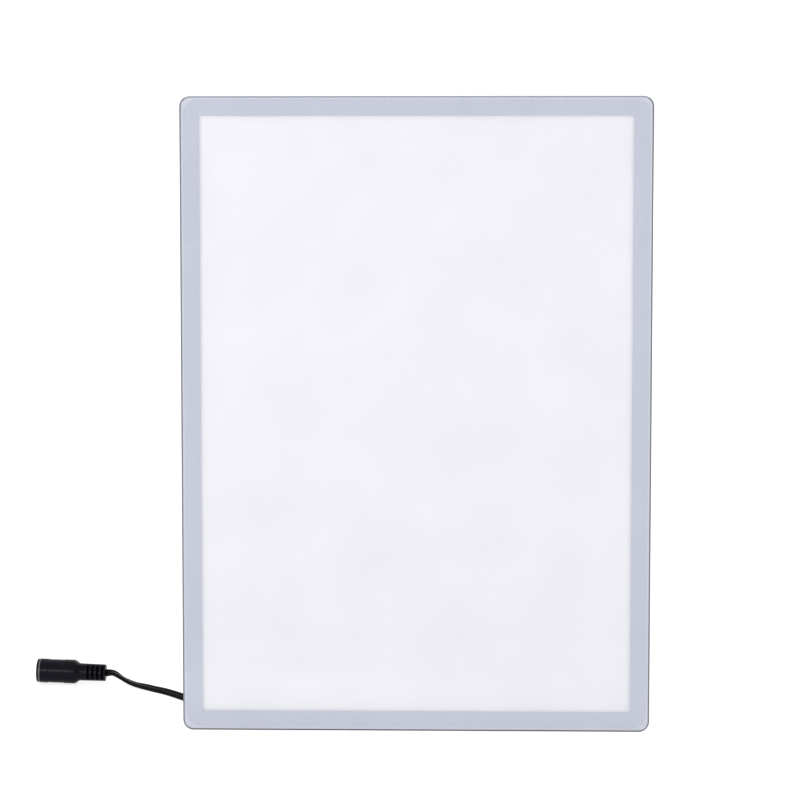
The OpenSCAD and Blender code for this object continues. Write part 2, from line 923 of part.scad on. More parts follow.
module pin_clip() {
  color("dimgray")
  in_panel()
  at_pin()
  translate([ear_end + fit_gap + clip_t / 2, 0, 0])
  difference() {
    rod_x(clip_d, clip_t - fit_gap);
    rod_x(pin_d - 2 * clip_groove + 2 * fit_gap, clip_t + cut);
    translate([-cut, -pin_d / 2 + clip_groove, -clip_d]) cube([2 * cut, pin_d - 2 * clip_groove, clip_d]);
  }
}

module hinge_washers() {
  color("silver")
  in_panel()
  at_pin()
  for (sx = [-1, 1])
  translate([sx * (washer_x + washer_t / 2), 0, 0])
  difference() {
    rod_x(washer_d, washer_t);
    rod_x(pin_d + 2 * pin_gap, washer_t + cut);
  }
}

// Leg

// Face outline of the leg, from its heel to its end in the rubber foot
module leg_outline() {
  top = leg_top_w / 2;
  low = leg_foot_w / 2;
  polygon([
    [-top, heel_l], [top, heel_l], [top, -leg_neck], [low, foot_h - leg_l],
    [low, sole_t - leg_l], [-low, sole_t - leg_l], [-low, foot_h - leg_l], [-top, -leg_neck]
  ]);
}

// Strip along the leg's sloping edge, for its flange
module flange_outline() {
  top = leg_top_w / 2;
  low = leg_foot_w / 2;
  low_z = foot_h - leg_l;
  polygon([[top - flange_t, -leg_neck], [top, -leg_neck], [low, low_z], [low - flange_t, low_z]]);
}

module leg_plate(y, t) {
  translate([0, y + t, 0]) rotate([90, 0, 0]) linear_extrude(t) children();
}

module leg_strut() {
  stop_y = pin_off - bracket_t - fit_gap;
  color("gainsboro")
  in_leg()
  difference() {
    union() {
      rod_x(knuckle_d, knuckle_l);
      leg_plate(-leg_t / 2, leg_t) leg_outline();
      leg_plate(-leg_t / 2 - flange_d, flange_d) flange_outline();
      mirror([1, 0, 0]) leg_plate(-leg_t / 2 - flange_d, flange_d) flange_outline();
    }
    rod_x(pin_d + 2 * pin_gap, knuckle_l + cut);
    rotate([-open_angle, 0, 0]) box(knuckle_l + cut, -stop_y - heel_l, heel_l, 0, 2 * heel_l);
  }
}

module leg_foot() {
  color("dimgray")
  difference() {
    in_leg()
    difference() {
      box(leg_foot_w + 2 * foot_side, -foot_t / 2, foot_t, -leg_l - foot_t, foot_h + foot_t);
      box(leg_foot_w + 2 * fit_gap, -leg_t / 2 - fit_gap, leg_t + 2 * fit_gap, sole_t - leg_l, foot_h);
    }
    below_table();
  }
}

// Lead and jack

module cord_grommet() {
  color("dimgray")
  in_panel()
  translate([-entry_x, 0, entry_z]) {
    inner_t = wiring_gap - sheet_gap;
    box(grommet_inner, back_y - inner_t, inner_t, -grommet_inner / 2, grommet_inner);
    rod_y(grommet_d, back_y, back_t);
    rod_y(flange_disc_d, outer_y, flange_disc_t);
    translate([0, outer_y + flange_disc_t, 0])
    rotate([-90, 0, 0])
    cylinder(d1 = grommet_d, d2 = snout_d, h = snout_l);
  }
}

module power_cord() {
  along_jack = [
    cos(jack_tilt) * cos(jack_turn), cos(jack_tilt) * sin(jack_turn), sin(jack_tilt)
  ];
  route = concat(
    [
      on_table([-entry_x, tip_y, entry_z]),
      on_table([-entry_x, tip_y + cord_lead, entry_z])
    ],
    cord_route,
    [neck_end - cord_lead * along_jack, neck_end]
  );
  color("dimgray") on_floor() tube(route, [0, 0, 1], twin_section());
}

// Section of the jack's overmould: radius, then distance from the cord's end
module shell_section() {
  neck_r = neck_d / 2;
  root_r = neck_root_d / 2;
  body_r = jack_d / 2;
  waist_r = body_r - jack_step;
  core_r = core_d / 2 + fit_gap;
  edge = (body_r - core_r) / 3;
  polygon([
    [0, 0], [neck_r - edge, 0], [neck_r, edge], [root_r, neck_l], [body_r, body_x],
    [body_r, body_x + rear_ring_l], [waist_r, body_x + rear_ring_l],
    [waist_r, shell_front - front_ring_l], [body_r, shell_front - front_ring_l],
    [body_r, shell_front - edge], [body_r - edge, shell_front],
    [core_r, shell_front], [core_r, core_x], [0, core_x]
  ]);
}

module jack_shell() {
  color("dimgray")
  at_jack()
  difference() {
    rotate_extrude() shell_section();
    for (i = [0 : groove_count - 1], side = [0, 180])
    translate([0, 0, groove_end + i * groove_pitch])
    rotate([0, 0, groove_roll + side])
    translate([-neck_root_d / 2, groove_web / 2, 0])
    cube([neck_root_d, neck_root_d / 2, groove_w]);
  }
}

module jack_insert() {
  socket_r = socket_d / 2;
  contact_r = socket_r + contact_t + fit_gap;
  floor_x = jack_l - socket_depth;
  root_r = pin_root_d / 2 + fit_gap;
  root_x = floor_x - pin_root_l;
  contact_x = jack_l - contact_in;
  collar_r = collar_d / 2;
  collar_x = jack_l - collar_t;
  color("dimgray")
  at_jack()
  rotate_extrude()
  polygon([
    [0, core_x], [core_d / 2, core_x], [core_d / 2, collar_x], [collar_r, collar_x],
    [collar_r, jack_l - collar_edge], [collar_r - collar_edge, jack_l],
    [socket_r, jack_l], [socket_r, contact_x],
    [contact_r, contact_x], [contact_r, floor_x], [root_r, floor_x], [root_r, root_x],
    [0, root_x]
  ]);
}

module jack_sleeve() {
  floor_x = jack_l - socket_depth;
  sleeve_l = socket_depth - contact_in - fit_gap;
  color("silver")
  at_jack()
  translate([0, 0, floor_x])
  difference() {
    cylinder(d = socket_d + 2 * contact_t, h = sleeve_l);
    translate([0, 0, -cut]) cylinder(d = socket_d, h = sleeve_l + 2 * cut);
  }
}

module jack_pin() {
  floor_x = jack_l - socket_depth;
  tip_r = jack_pin_d / 4;
  straight = socket_depth - jack_pin_in - tip_r;
  color("silver")
  at_jack()
  translate([0, 0, floor_x]) {
    translate([0, 0, -pin_root_l]) cylinder(d = pin_root_d, h = pin_root_l);
    cylinder(d = jack_pin_d, h = straight);
    translate([0, 0, straight]) cylinder(d1 = jack_pin_d, d2 = 2 * tip_r, h = tip_r);
  }
}

cover_sheet();
border_print();
cover_magnets();
rail_left();
rail_right();
rail_top();
rail_bottom();
corner_keys();
corner_screws();
keeper_strips();
screw_blocks();
diffuser_sheet();
light_guide();
reflector_sheet();
pressure_pads();
led_board_left();
led_board_right();
leds_left();
leds_right();
lead_wires_left();
lead_wires_right();
back_panel();
back_screws();
foot_pads();
hinge_backplate();
hinge_bracket();
bracket_screws();
hinge_pin();
pin_clip();
hinge_washers();
leg_strut();
leg_foot();
cord_grommet();
power_cord();
jack_shell();
jack_insert();
jack_sleeve();
jack_pin();
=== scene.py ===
"""Looks of a slim, edge-lit display panel that leans back on a fold-out leg.

All places are in metres in the part's own frame: X to the viewer's right, Y away from the viewer and
Z up, with the table at Z = 0. Pieces of the panel are modelled upright, as on a bench, and are then
leaned back with it.
"""

import json
import logging
import math
from collections.abc import Callable, Sequence
from dataclasses import dataclass, replace
from enum import Enum
from functools import cache
from itertools import pairwise

import bmesh
import bpy
from mathutils import Matrix, Vector


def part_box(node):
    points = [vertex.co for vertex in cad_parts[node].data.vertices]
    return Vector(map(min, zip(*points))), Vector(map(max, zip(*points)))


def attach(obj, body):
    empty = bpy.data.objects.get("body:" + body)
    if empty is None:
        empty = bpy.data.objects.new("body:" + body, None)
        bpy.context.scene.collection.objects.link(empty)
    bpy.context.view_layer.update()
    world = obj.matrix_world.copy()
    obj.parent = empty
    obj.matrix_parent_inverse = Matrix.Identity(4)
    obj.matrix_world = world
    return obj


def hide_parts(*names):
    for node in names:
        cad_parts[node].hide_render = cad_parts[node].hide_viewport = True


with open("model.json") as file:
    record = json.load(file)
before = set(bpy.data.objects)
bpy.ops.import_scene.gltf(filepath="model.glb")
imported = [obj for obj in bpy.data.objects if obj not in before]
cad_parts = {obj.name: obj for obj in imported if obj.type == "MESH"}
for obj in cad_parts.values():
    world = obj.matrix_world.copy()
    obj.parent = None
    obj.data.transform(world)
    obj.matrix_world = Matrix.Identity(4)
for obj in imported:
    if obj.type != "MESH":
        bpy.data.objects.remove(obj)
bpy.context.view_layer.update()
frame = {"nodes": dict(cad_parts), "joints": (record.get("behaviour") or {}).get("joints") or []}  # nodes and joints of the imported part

LOG = logging.getLogger("display_panel")
MM = 0.001
WELD = 1e-6  # points nearer than this are one point
FLAT = math.radians(0.5)  # faces that meet at less than this are one face
SHARP = math.radians(35)  # edges that turn by more than this catch the light
ALONG = 0.9  # a direction with this share on an axis runs along it
ACROSS = 0.1  # a direction with less than this share on an axis runs across it
EASE_STEPS = 2  # flats of a rounded edge
PATTERN_LOW, PATTERN_HIGH = 0.3, 0.7  # nearly all of a pattern lies between these levels

Piece = bpy.types.Object
Socket = bpy.types.NodeSocket
Tree = bpy.types.NodeTree


def linear(colour: str) -> tuple[float, ...]:
    """Turns an sRGB hex colour into linear light.

    Args:
        colour: Six hex digits.

    Returns:
        Red, green and blue in linear light, and full alpha.
    """
    shares = [int(colour[i : i + 2], 16) / 255 for i in (0, 2, 4)]
    return (*(s / 12.92 if s <= 0.04045 else ((s + 0.055) / 1.055) ** 2.4 for s in shares), 1.0)


def add(tree: Tree, kind: str, inputs: dict | None = None, **settings) -> bpy.types.Node:
    """Adds a node with its settings, values and links.

    Args:
        tree: Node tree that the node goes into.
        kind: Blender's name for the node type.
        inputs: Input sockets by name or number, each with a value or the socket that feeds it.
        **settings: Properties of the node itself.

    Returns:
        The new node.
    """
    node = tree.nodes.new(kind)
    for name, value in settings.items():
        setattr(node, name, value)
    for key, value in (inputs or {}).items():
        if isinstance(value, Socket):
            tree.links.new(value, node.inputs[key])
        else:
            node.inputs[key].default_value = value
    return node


def blank_tree(owner: bpy.types.Material | bpy.types.World) -> Tree:
    """Gives a new material or world an empty node tree and returns the tree."""
    owner.use_nodes = True
    owner.node_tree.nodes.clear()
    return owner.node_tree


def put(name: str, data: bpy.types.ID) -> Piece:
    """Puts a new object with its data into the scene and returns it."""
    made = bpy.data.objects.new(name, data)
    bpy.context.scene.collection.objects.link(made)
    return made


# Finishes


class Pattern(Enum):
    """Fine pattern that the making of a surface leaves."""

    CLOUDS = "ShaderNodeTexNoise"
    CELLS = "ShaderNodeTexVoronoi"


@dataclass(frozen=True)
class Finish:
    """One material, with the pattern that its making leaves on the surface.

    Attributes:
        name: What the material is and how its surface was made.
        slot: Material slot of the part that it dresses; not used.
        colour: Colour where the pattern is low, as sRGB hex.
        second: Colour where the pattern is high, as sRGB hex.
        roughness: Roughness where the pattern is low.
        swing: Rise in roughness where the pattern is high.
        grain_mm: Width of the pattern's cells.
        relief_mm: Height of the pattern.
        run: How many times longer than wide the cells are, along X, Y and Z.
        metallic: 1 for bare metal.
        ior: Refractive index. A metal keeps the default.
        shine: Strength of the mirror on a plastic, 0.5 for a plain one.
        pattern: Kind of pattern.
    """

    name: str
    slot: str
    colour: str
    second: str
    roughness: float
    swing: float
    grain_mm: float
    relief_mm: float = 0.0
    run: tuple[float, float, float] = (1.0, 1.0, 1.0)
    metallic: float = 0.0
    ior: float = 1.5
    shine: float = 0.5
    pattern: Pattern = Pattern.CLOUDS

    @cache
    def material(self) -> bpy.types.Material:
        """Builds the node material once and returns it."""
        made = bpy.data.materials.new(self.name)
        tree = blank_tree(made)
        add(tree, "ShaderNodeOutputMaterial", {"Surface": self.surface(tree)})
        return made

    def grain(self, tree: Tree) -> Socket:
        """Adds the pattern, from 0 to 1, on the object's own coordinates."""
        place = add(tree, "ShaderNodeTexCoord").outputs["Object"]
        turned = add(
            tree,
            "ShaderNodeMapping",
            {"Vector": place, "Rotation": (STANCE.lean, 0, 0), "Scale": [1 / r for r in self.run]},
        )
        texture = add(
            tree, self.pattern.value, {"Vector": turned.outputs[0], "Scale": 1 / (self.grain_mm * MM)}
        )
        level = add(
            tree,
            "ShaderNodeMapRange",
            {"Value": texture.outputs[0], "From Min": PATTERN_LOW, "From Max": PATTERN_HIGH},
        )
        return level.outputs[0]

    def principled(self, tree: Tree, **inputs) -> bpy.types.Node:
        """Adds the main shader, with colour, roughness and relief from the pattern.

        Args:
            tree: Node tree of the material.
            **inputs: More inputs of the shader, with _ for each space in a name.

        Returns:
            The shader node.
        """
        level = self.grain(tree)
        colour = add(
            tree,
            "ShaderNodeMix",
            {0: level, 6: linear(self.colour), 7: linear(self.second)},
            data_type="RGBA",
        )
        rough = add(
            tree,
            "ShaderNodeMapRange",
            {"Value": level, "To Min": self.roughness, "To Max": self.roughness + self.swing},
        )
        sockets = {
            "Base Color": colour.outputs[2],
            "Roughness": rough.outputs[0],
            "Metallic": self.metallic,
            "IOR": self.ior,
            "Specular IOR Level": self.shine,
        }
        sockets |= {name.replace("_", " "): value for name, value in inputs.items()}
        if self.relief_mm:
            bump = add(
                tree, "ShaderNodeBump", {"Height": level, "Distance": self.relief_mm * MM, "Strength": 1.0}
            )
            sockets["Normal"] = bump.outputs[0]
        return add(tree, "ShaderNodeBsdfPrincipled", sockets)

    def surface(self, tree: Tree) -> Socket:
        """Adds the shader that the material shows."""
        return self.principled(tree).outputs[0]


@dataclass(frozen=True)
class ClearFinish(Finish):
    """Clear plastic that lets soft light straight through to what lies behind it.

    Attributes:
        clarity: How clear it looks: 1 for a polished face, 0 for a dull one.
        passed: Share of soft light that gets through a face, as sRGB hex.
    """

    clarity: float = 1.0
    passed: str = "fafafb"

    def surface(self, tree: Tree) -> Socket:
        """Adds the clear shader, open to light on its way to or from a dull surface."""
        clear = self.principled(tree, Transmission_Weight=self.clarity)
        path = add(tree, "ShaderNodeLightPath").outputs
        dull = add(
            tree, "ShaderNodeMath", {0: path["Is Shadow Ray"], 1: path["Is Diffuse Ray"]}, operation="MAXIMUM"
        )
        open_way = add(tree, "ShaderNodeBsdfTransparent", {"Color": linear(self.passed)})
        mixed = add(
            tree, "ShaderNodeMixShader", {0: dull.outputs[0], 1: clear.outputs[0], 2: open_way.outputs[0]}
        )
        return mixed.outputs[0]


# How the panel stands


@dataclass(frozen=True)
class Stance:
    """How the panel leans, and where the lower edge of its front lies.

    Attributes:
        lean: Backward lean in radians.
        shift: Y of the lower front edge.
        lift: Z of the lower front edge.
    """

    lean: float
    shift: float
    lift: float

    @classmethod
    def from_frame(cls, thickness: float, chamfer: float) -> "Stance":
        """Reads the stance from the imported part.

        Args:
            thickness: Thickness of the front sheet.
            chamfer: Chamfer of the front sheet.

        Returns:
            The stance.
        """
        slide = next(j for j in frame["joints"] if j["name"] == "cover_lift")
        lean = math.asin(slide["axis"][2])
        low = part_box("cover_sheet")[0]
        return cls(lean, low.y - chamfer * math.sin(lean), low.z + thickness * math.sin(lean))

    @property
    def matrix(self) -> Matrix:
        """Leans an upright piece back into its place."""
        return Matrix.Translation((0, self.shift, self.lift)) @ Matrix.Rotation(-self.lean, 4, "X")


SHEET_T = 3 * MM  # thickness of the front sheet
SHEET_CHAMFER = 0.8 * MM  # chamfer round the front sheet's face
STANCE = Stance.from_frame(SHEET_T, SHEET_CHAMFER)


# Materials of the panel

# Cast acrylic, polished: clear and glossy, with the faintest haze
CLEAR_ACRYLIC = ClearFinish(
    "cast_acrylic_polished", "clear_acrylic", "fafafb", "f6f6f8",
    roughness=0.01, swing=0.03, grain_mm=40, ior=1.49,
)
# Cast acrylic, milled chamfer: painted shade, grey, for the dark that the chamfer shows because it turns the
# light away from the eye
CHAMFER_SHADE = ClearFinish(
    "acrylic_chamfer_painted_shade", "clear_acrylic", "6c6f77", "7a7d85",
    roughness=0.3, swing=0.1, grain_mm=0.8, ior=1.49, shine=0.2, clarity=0.0,
)
# The same chamfer along the foot of the sheet: darker, painted shade for the shade under the panel
LOW_CHAMFER_SHADE = replace(CHAMFER_SHADE, name="acrylic_chamfer_low_painted_shade", colour="3e4044", second="4a4c51")
# The same chamfer along the top of the sheet: paler, painted light for the light from above
TOP_CHAMFER_LIGHT = replace(CHAMFER_SHADE, name="acrylic_chamfer_top_painted_light", colour="9b9ea7", second="a7aab3")
# Silver screen ink seen through acrylic: a cool grey with fine flakes, drawn coarse enough to show
SILVER_INK = ClearFinish(
    "silver_screen_ink", "silver_print", "c1c5d1", "c9cdd9",
    roughness=0.6, swing=0.1, grain_mm=0.6, shine=0.05, clarity=0.0,
)
# The same ink at the film's rim: paler, a painted highlight along the edge of the sheet
RIM_HIGHLIGHT_INK = replace(SILVER_INK, name="silver_ink_painted_highlight", colour="cdd1db", second="d5d8e2")
# Opal acrylic, extruded: milky white, soft and even while the lamps behind it are off
OPAL = Finish(
    "opal_acrylic", "opal_acrylic", "f2f1f5", "f3f2f6",
    roughness=0.45, swing=0.1, grain_mm=30, ior=1.49, shine=0.3,
)
# Aluminium, drawn and satin anodised: pale grey with fine lines along the draw
RAIL_ACROSS = Finish(
    "anodised_aluminium_across", "anodised_aluminium", "aeb1b7", "babdc2",
    roughness=0.34, swing=0.14, grain_mm=0.5, relief_mm=0.004, run=(60, 1, 1), metallic=1.0,
)
RAIL_UPRIGHT = replace(RAIL_ACROSS, name="anodised_aluminium_upright", run=(1, 1, 60))
# The same aluminium on the leg, blasted before it was anodised: matt
LEG_ALUMINIUM = Finish(
    "anodised_aluminium_blasted", "leg_aluminium", "a4a7ac", "b0b2b7",
    roughness=0.46, swing=0.1, grain_mm=0.5, relief_mm=0.008, metallic=1.0,
)
# Zinc, die cast: dull grey with soft clouds
ZINC = Finish(
    "zinc_die_cast", "zinc_casting", "9a9da0", "a9abae",
    roughness=0.45, swing=0.15, grain_mm=3, relief_mm=0.01, metallic=1.0,
)
# Steel, zinc plated: bright, with a faint cloudy spangle
PLATED_STEEL = Finish(
    "zinc_plated_steel", "bracket_steel", "aeb1b4", "bfc1c3",
    roughness=0.28, swing=0.12, grain_mm=4, metallic=1.0,
)
# The same plating on screws and pins: brighter, with a finer spangle
SCREW_STEEL = Finish(
    "zinc_plated_screw", "steel_screw", "b3b5b8", "c4c6c8",
    roughness=0.22, swing=0.12, grain_mm=1.5, metallic=1.0,
)
# Steel strip, cold rolled: grey with fine lines along the roll
STRIP_STEEL = Finish(
    "cold_rolled_steel", "steel_strip", "9c9ea1", "a8aaac",
    roughness=0.3, swing=0.15, grain_mm=1, relief_mm=0.002, run=(30, 1, 1), metallic=1.0,
)
# Magnet, nickel plated: bright with a warm tone
NICKEL = Finish(
    "nickel_plated_magnet", "magnet_nickel", "c9c7c1", "d3d1cc",
    roughness=0.18, swing=0.08, grain_mm=2, metallic=1.0,
)
# Polystyrene sheet, extruded with a fine haircell texture: soft white
BACK_WHITE = Finish(
    "polystyrene_haircell", "back_sheet", "e2e3e5", "eaebec",
    roughness=0.5, swing=0.15, grain_mm=0.7, relief_mm=0.02, ior=1.59,
)
# Rubber, moulded: near black and matt, with a bloom
RUBBER = Finish(
    "moulded_rubber", "foot_rubber", "1c1d1f", "26272a",
    roughness=0.62, swing=0.15, grain_mm=0.6, relief_mm=0.02, ior=1.52, shine=0.25,
)
# PVC, extruded over the cores: black with a soft shine along the run
LEAD_PVC = Finish(
    "extruded_pvc", "lead_pvc", "06060a", "0b0b12",
    roughness=0.3, swing=0.12, grain_mm=1.2, relief_mm=0.01, ior=1.53, shine=0.06,
)
# PVC, overmoulded in a fine-textured tool: black with a violet cast, and a dull shine on the curves
JACK_PVC = Finish(
    "overmoulded_pvc", "jack_plastic", "0b0a12", "13111c",
    roughness=0.24, swing=0.1, grain_mm=0.35, relief_mm=0.006, ior=1.53, shine=0.07,
)
# The same PVC at the rim of the mouth: dark grey, a painted highlight on the rim's chamfer
MOUTH_HIGHLIGHT_PVC = Finish(
    "overmoulded_pvc_painted_highlight", "jack_plastic", "4a4a50", "606066",
    roughness=0.3, swing=0.12, grain_mm=0.4, ior=1.53, shine=0.4,
)
# The same PVC deep in the neck's slots: matt and blacker, painted shade in the slots
SLOT_SHADE_PVC = Finish(
    "overmoulded_pvc_painted_shade", "jack_plastic", "020203", "050507",
    roughness=0.6, swing=0.2, grain_mm=0.35, ior=1.53, shine=0.04,
)
# PBT, moulded: hard and black, smoother than the overmould
JACK_PBT = Finish(
    "moulded_pbt", "jack_plastic", "07070a", "0d0d11",
    roughness=0.3, swing=0.1, grain_mm=0.5, relief_mm=0.004, ior=1.55, shine=0.1,
)
# Brass, nickel plated: bright contact metal
CONTACT = Finish(
    "nickel_plated_brass", "contact_metal", "c8c5bd", "d4d1ca",
    roughness=0.2, swing=0.08, grain_mm=1, metallic=1.0,
)
# Acrylic light guide, clear with printed dots that scatter the light
GUIDE = ClearFinish(
    "light_guide_acrylic", "guide_acrylic", "f4f7f8", "ffffff",
    roughness=0.02, swing=0.3, grain_mm=1.5, ior=1.49, pattern=Pattern.CELLS,
)
# Polyester film, filled white: soft satin
REFLECTOR = Finish(
    "white_polyester_film", "reflector_film", "ececee", "f4f4f5",
    roughness=0.35, swing=0.1, grain_mm=8, ior=1.57,
)
# Polyethylene foam, closed cells
FOAM = Finish(
    "polyethylene_foam", "foam", "6d6f73", "7d7f83",
    roughness=0.8, swing=0.1, grain_mm=0.9, relief_mm=0.15, ior=1.5, pattern=Pattern.CELLS,
)
# Circuit board under white solder mask
BOARD = Finish(
    "white_solder_mask", "board_white", "e6e6e0", "eeeeea",
    roughness=0.32, swing=0.1, grain_mm=2, ior=1.52,
)
# LED chip under yellow phosphor
PHOSPHOR = Finish(
    "led_phosphor", "led_phosphor", "e3cf6a", "edd97d",
    roughness=0.4, swing=0.1, grain_mm=0.4, ior=1.45,
)
# Wire insulation, red PVC
WIRE = Finish(
    "red_wire_pvc", "wire_insulation", "8f1d1a", "a32622",
    roughness=0.4, swing=0.1, grain_mm=1, ior=1.53,
)


# Modelling by hand


class Part(Enum):
    """What a selection is made of."""

    EDGE = "EDGE"
    FACE = "FACE"


def run_of(edge: bmesh.types.BMEdge) -> Vector:
    """Direction of an edge."""
    return (edge.verts[1].co - edge.verts[0].co).normalized()


def middle_of(edge: bmesh.types.BMEdge) -> Vector:
    """Middle of an edge."""
    return (edge.verts[0].co + edge.verts[1].co) / 2


def turn_of(edge: bmesh.types.BMEdge) -> float:
    """Angle between the two faces of an edge, or 0 where it is open."""
    return edge.calc_face_angle(0.0)


def clear_bench() -> None:
    """Leaves edit mode and deselects every object."""
    if bpy.context.object and bpy.context.object.mode != "OBJECT":
        bpy.ops.object.mode_set(mode="OBJECT")
    bpy.ops.object.select_all(action="DESELECT")


class Workpiece:
    """A mesh on the bench, shaped by operators on its selected parts."""

    def __init__(self, piece: Piece) -> None:
        """Takes up an object as the piece to work on."""
        self.piece = piece

    @classmethod
    def start(cls, name: str, primitive: Callable, **settings) -> "Workpiece":
        """Adds a primitive, with nothing else selected.

        Args:
            name: Name of the piece.
            primitive: Operator that adds it.
            **settings: Settings of the operator.

        Returns:
            The new workpiece.
        """
        clear_bench()
        primitive(**settings)
        piece = bpy.context.object
        piece.name = piece.data.name = name
        bpy.ops.object.transform_apply(location=True, rotation=True, scale=True)
        return cls(piece)

    @classmethod
    def box(cls, name: str, size: Sequence[float], centre: Sequence[float]) -> "Workpiece":
        """Adds a box by its size and middle."""
        return cls.start(name, bpy.ops.mesh.primitive_cube_add, size=1, location=centre, scale=size)

    @classmethod
    def turned(cls, name: str, profile: Sequence[tuple[float, float]], sides: int) -> "Workpiece":
        """Turns a profile about Z, ring by ring, as on a lathe.

        Args:
            name: Name of the piece.
            profile: Height and radius of each ring, from one closed end to the other.
            sides: Sides of a ring.

        Returns:
            The closed, turned workpiece.
        """
        start, radius = profile[0]
        work = cls.start(
            name,
            bpy.ops.mesh.primitive_circle_add,
            vertices=sides,
            radius=radius,
            fill_type="NGON",
            location=(0, 0, start),
        )
        work.edit()
        bpy.ops.mesh.select_all(action="SELECT")
        for (low, r0), (high, r1) in pairwise(profile):
            bpy.ops.mesh.extrude_region_move(TRANSFORM_OT_translate={"value": (0, 0, high - low)})
            bpy.ops.transform.resize(value=(r1 / r0, r1 / r0, 1), center_override=(0, 0, high))
        bpy.ops.mesh.select_all(action="SELECT")
        bpy.ops.mesh.normals_make_consistent(inside=False)
        return work

    @classmethod
    def from_node(cls, name: str, node: str) -> "Workpiece":
        """Starts from a copy of a CAD node, its loose triangles merged into whole faces.

        Args:
            name: Name of the piece.
            node: CAD node to copy.

        Returns:
            The new workpiece.
        """
        work = cls(put(name, frame["nodes"][node].data.copy()))
        work.take()
        bpy.ops.mesh.customdata_custom_splitnormals_clear()
        work.edit()
        bpy.ops.mesh.select_all(action="SELECT")
        bpy.ops.mesh.remove_doubles(threshold=WELD)
        bpy.ops.mesh.dissolve_limited(angle_limit=FLAT)
        return work

    def take(self) -> None:
        """Makes this the one selected and active piece, in object mode."""
        clear_bench()
        self.piece.select_set(True)
        bpy.context.view_layer.objects.active = self.piece

    def edit(self) -> None:
        """Opens the piece in edit mode."""
        if self.piece.mode != "EDIT":
            self.take()
            bpy.ops.object.mode_set(mode="EDIT")

    def select(self, part: Part, test: Callable) -> None:
        """Selects the parts that pass a test.

        Args:
            part: Kind of part.
            test: Function of a part that says whether it is selected.
        """
        self.edit()
        bpy.ops.mesh.select_mode(type=part.value)
        bpy.ops.mesh.select_all(action="DESELECT")
        mesh = bmesh.from_edit_mesh(self.piece.data)
        parts = mesh.edges if part is Part.EDGE else mesh.faces
        for item in [p for p in parts if test(p)]:
            item.select_set(True)
        bmesh.update_edit_mesh(self.piece.data)

    def bevel(self, width: float, steps: int = 1) -> None:
        """Bevels the selected edges."""
        bpy.ops.mesh.bevel(offset=width, segments=steps, profile=0.5, affect="EDGES")

    def ease(self, width: float, least: float) -> None:
        """Rounds the sharp edges that are longer than the least length."""
        self.select(Part.EDGE, lambda e: turn_of(e) > SHARP and e.calc_length() > least)
        self.bevel(width, EASE_STEPS)

    def delete_faces(self, test: Callable) -> None:
        """Deletes the faces that pass a test."""
        self.select(Part.FACE, test)
        bpy.ops.mesh.delete(type="FACE")

    def modify(self, kind: str, **settings) -> None:
        """Adds a modifier with its settings and applies it."""
        self.take()
        modifier = self.piece.modifiers.new(kind.lower(), kind)
        for name, value in settings.items():
            setattr(modifier, name, value)
        bpy.ops.object.modifier_apply(modifier=modifier.name)

    def cut(self, *tools: "Workpiece") -> None:
        """Cuts other workpieces out of this one, which uses them up."""
        for tool in tools:
            self.modify("BOOLEAN", object=tool.piece, operation="DIFFERENCE", solver="EXACT")
            tool.discard()

    def discard(self) -> None:
        """Takes the piece off the bench."""
        self.take()
        mesh = self.piece.data
        bpy.data.objects.remove(self.piece)
        bpy.data.meshes.remove(mesh)

    def copy(self, place: Matrix) -> "Workpiece":
        """Copies the piece, with a mesh of its own, to a place."""
        self.take()
        bpy.ops.object.duplicate(linked=False)
        other = Workpiece(bpy.context.object)
        other.stand(place)
        return other

    def join(self, others: Sequence["Workpiece"]) -> None:
        """Joins other workpieces into this one."""
        self.take()
        for other in others:
            other.piece.select_set(True)
        bpy.ops.object.join()

    def repeat(self, places: Sequence[Matrix]) -> None:
        """Copies the piece to each place and joins the copies, in place of the first."""
        copies = [self.copy(place) for place in places]
        name = self.piece.name
        self.discard()
        self.piece = copies[0].piece
        self.join(copies[1:])
        self.piece.name = self.piece.data.name = name

    def stand(self, place: Matrix) -> None:
        """Moves the piece by a matrix and keeps the move in its mesh."""
        self.take()
        self.piece.matrix_world = place
        bpy.ops.object.transform_apply(location=True, rotation=True, scale=True)

    def weld(self) -> None:
        """Merges points that lie on each other and turns the faces outwards."""
        self.edit()
        bpy.ops.mesh.select_all(action="SELECT")
        bpy.ops.mesh.remove_doubles(threshold=WELD)
        bpy.ops.mesh.normals_make_consistent(inside=False)

    def mark(self, number: int, test: Callable = lambda face: True) -> None:
        """Marks the faces that pass a test for one of the piece's finishes, counted from 0."""
        self.take()
        for face in self.piece.data.polygons:
            if test(face):
                face.material_index = number

    def dress(self, *finishes: Finish) -> None:
        """Gives the piece its finishes, each on the faces that are marked for it."""
        self.take()
        mesh = self.piece.data
        marks = [face.material_index for face in mesh.polygons]
        mesh.materials.clear()
        for finish in finishes:
            mesh.materials.append(finish.material())
        for face, mark in zip(mesh.polygons, marks):
            face.material_index = mark

    def hand_over(self, body: str, finishes: Sequence[Finish], nodes: Sequence[str]) -> Piece:
        """Dresses the finished piece and fits it to the frame.

        Args:
            body: CAD body that it rides on.
            finishes: Its finishes, the main one first.
            nodes: CAD nodes that it stands for.

        Returns:
            The finished piece.
        """
        self.dress(*finishes)
        bpy.ops.object.shade_smooth_by_angle(angle=SHARP)
        self.modify("WEIGHTED_NORMAL", keep_sharp=True)
        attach(self.piece, body)
        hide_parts(*nodes)
        LOG.info("%s rides on %s", self.piece.name, body)
        return self.piece


def eased(node: str, name: str, body: str, width: float, finish: Finish, least: float = 0.0) -> Piece:
    """Stands a copy with rounded edges in for a CAD node.

    Args:
        node: CAD node that it stands for.
        name: Name of the piece.
        body: CAD body that it rides on.
        width: Width of the rounding.
        finish: Its finish.
        least: Length above which an edge is rounded.

    Returns:
        The finished piece.
    """
    work = Workpiece.from_node(name, node)
    work.ease(width, least)
    return work.hand_over(body, (finish,), [node])


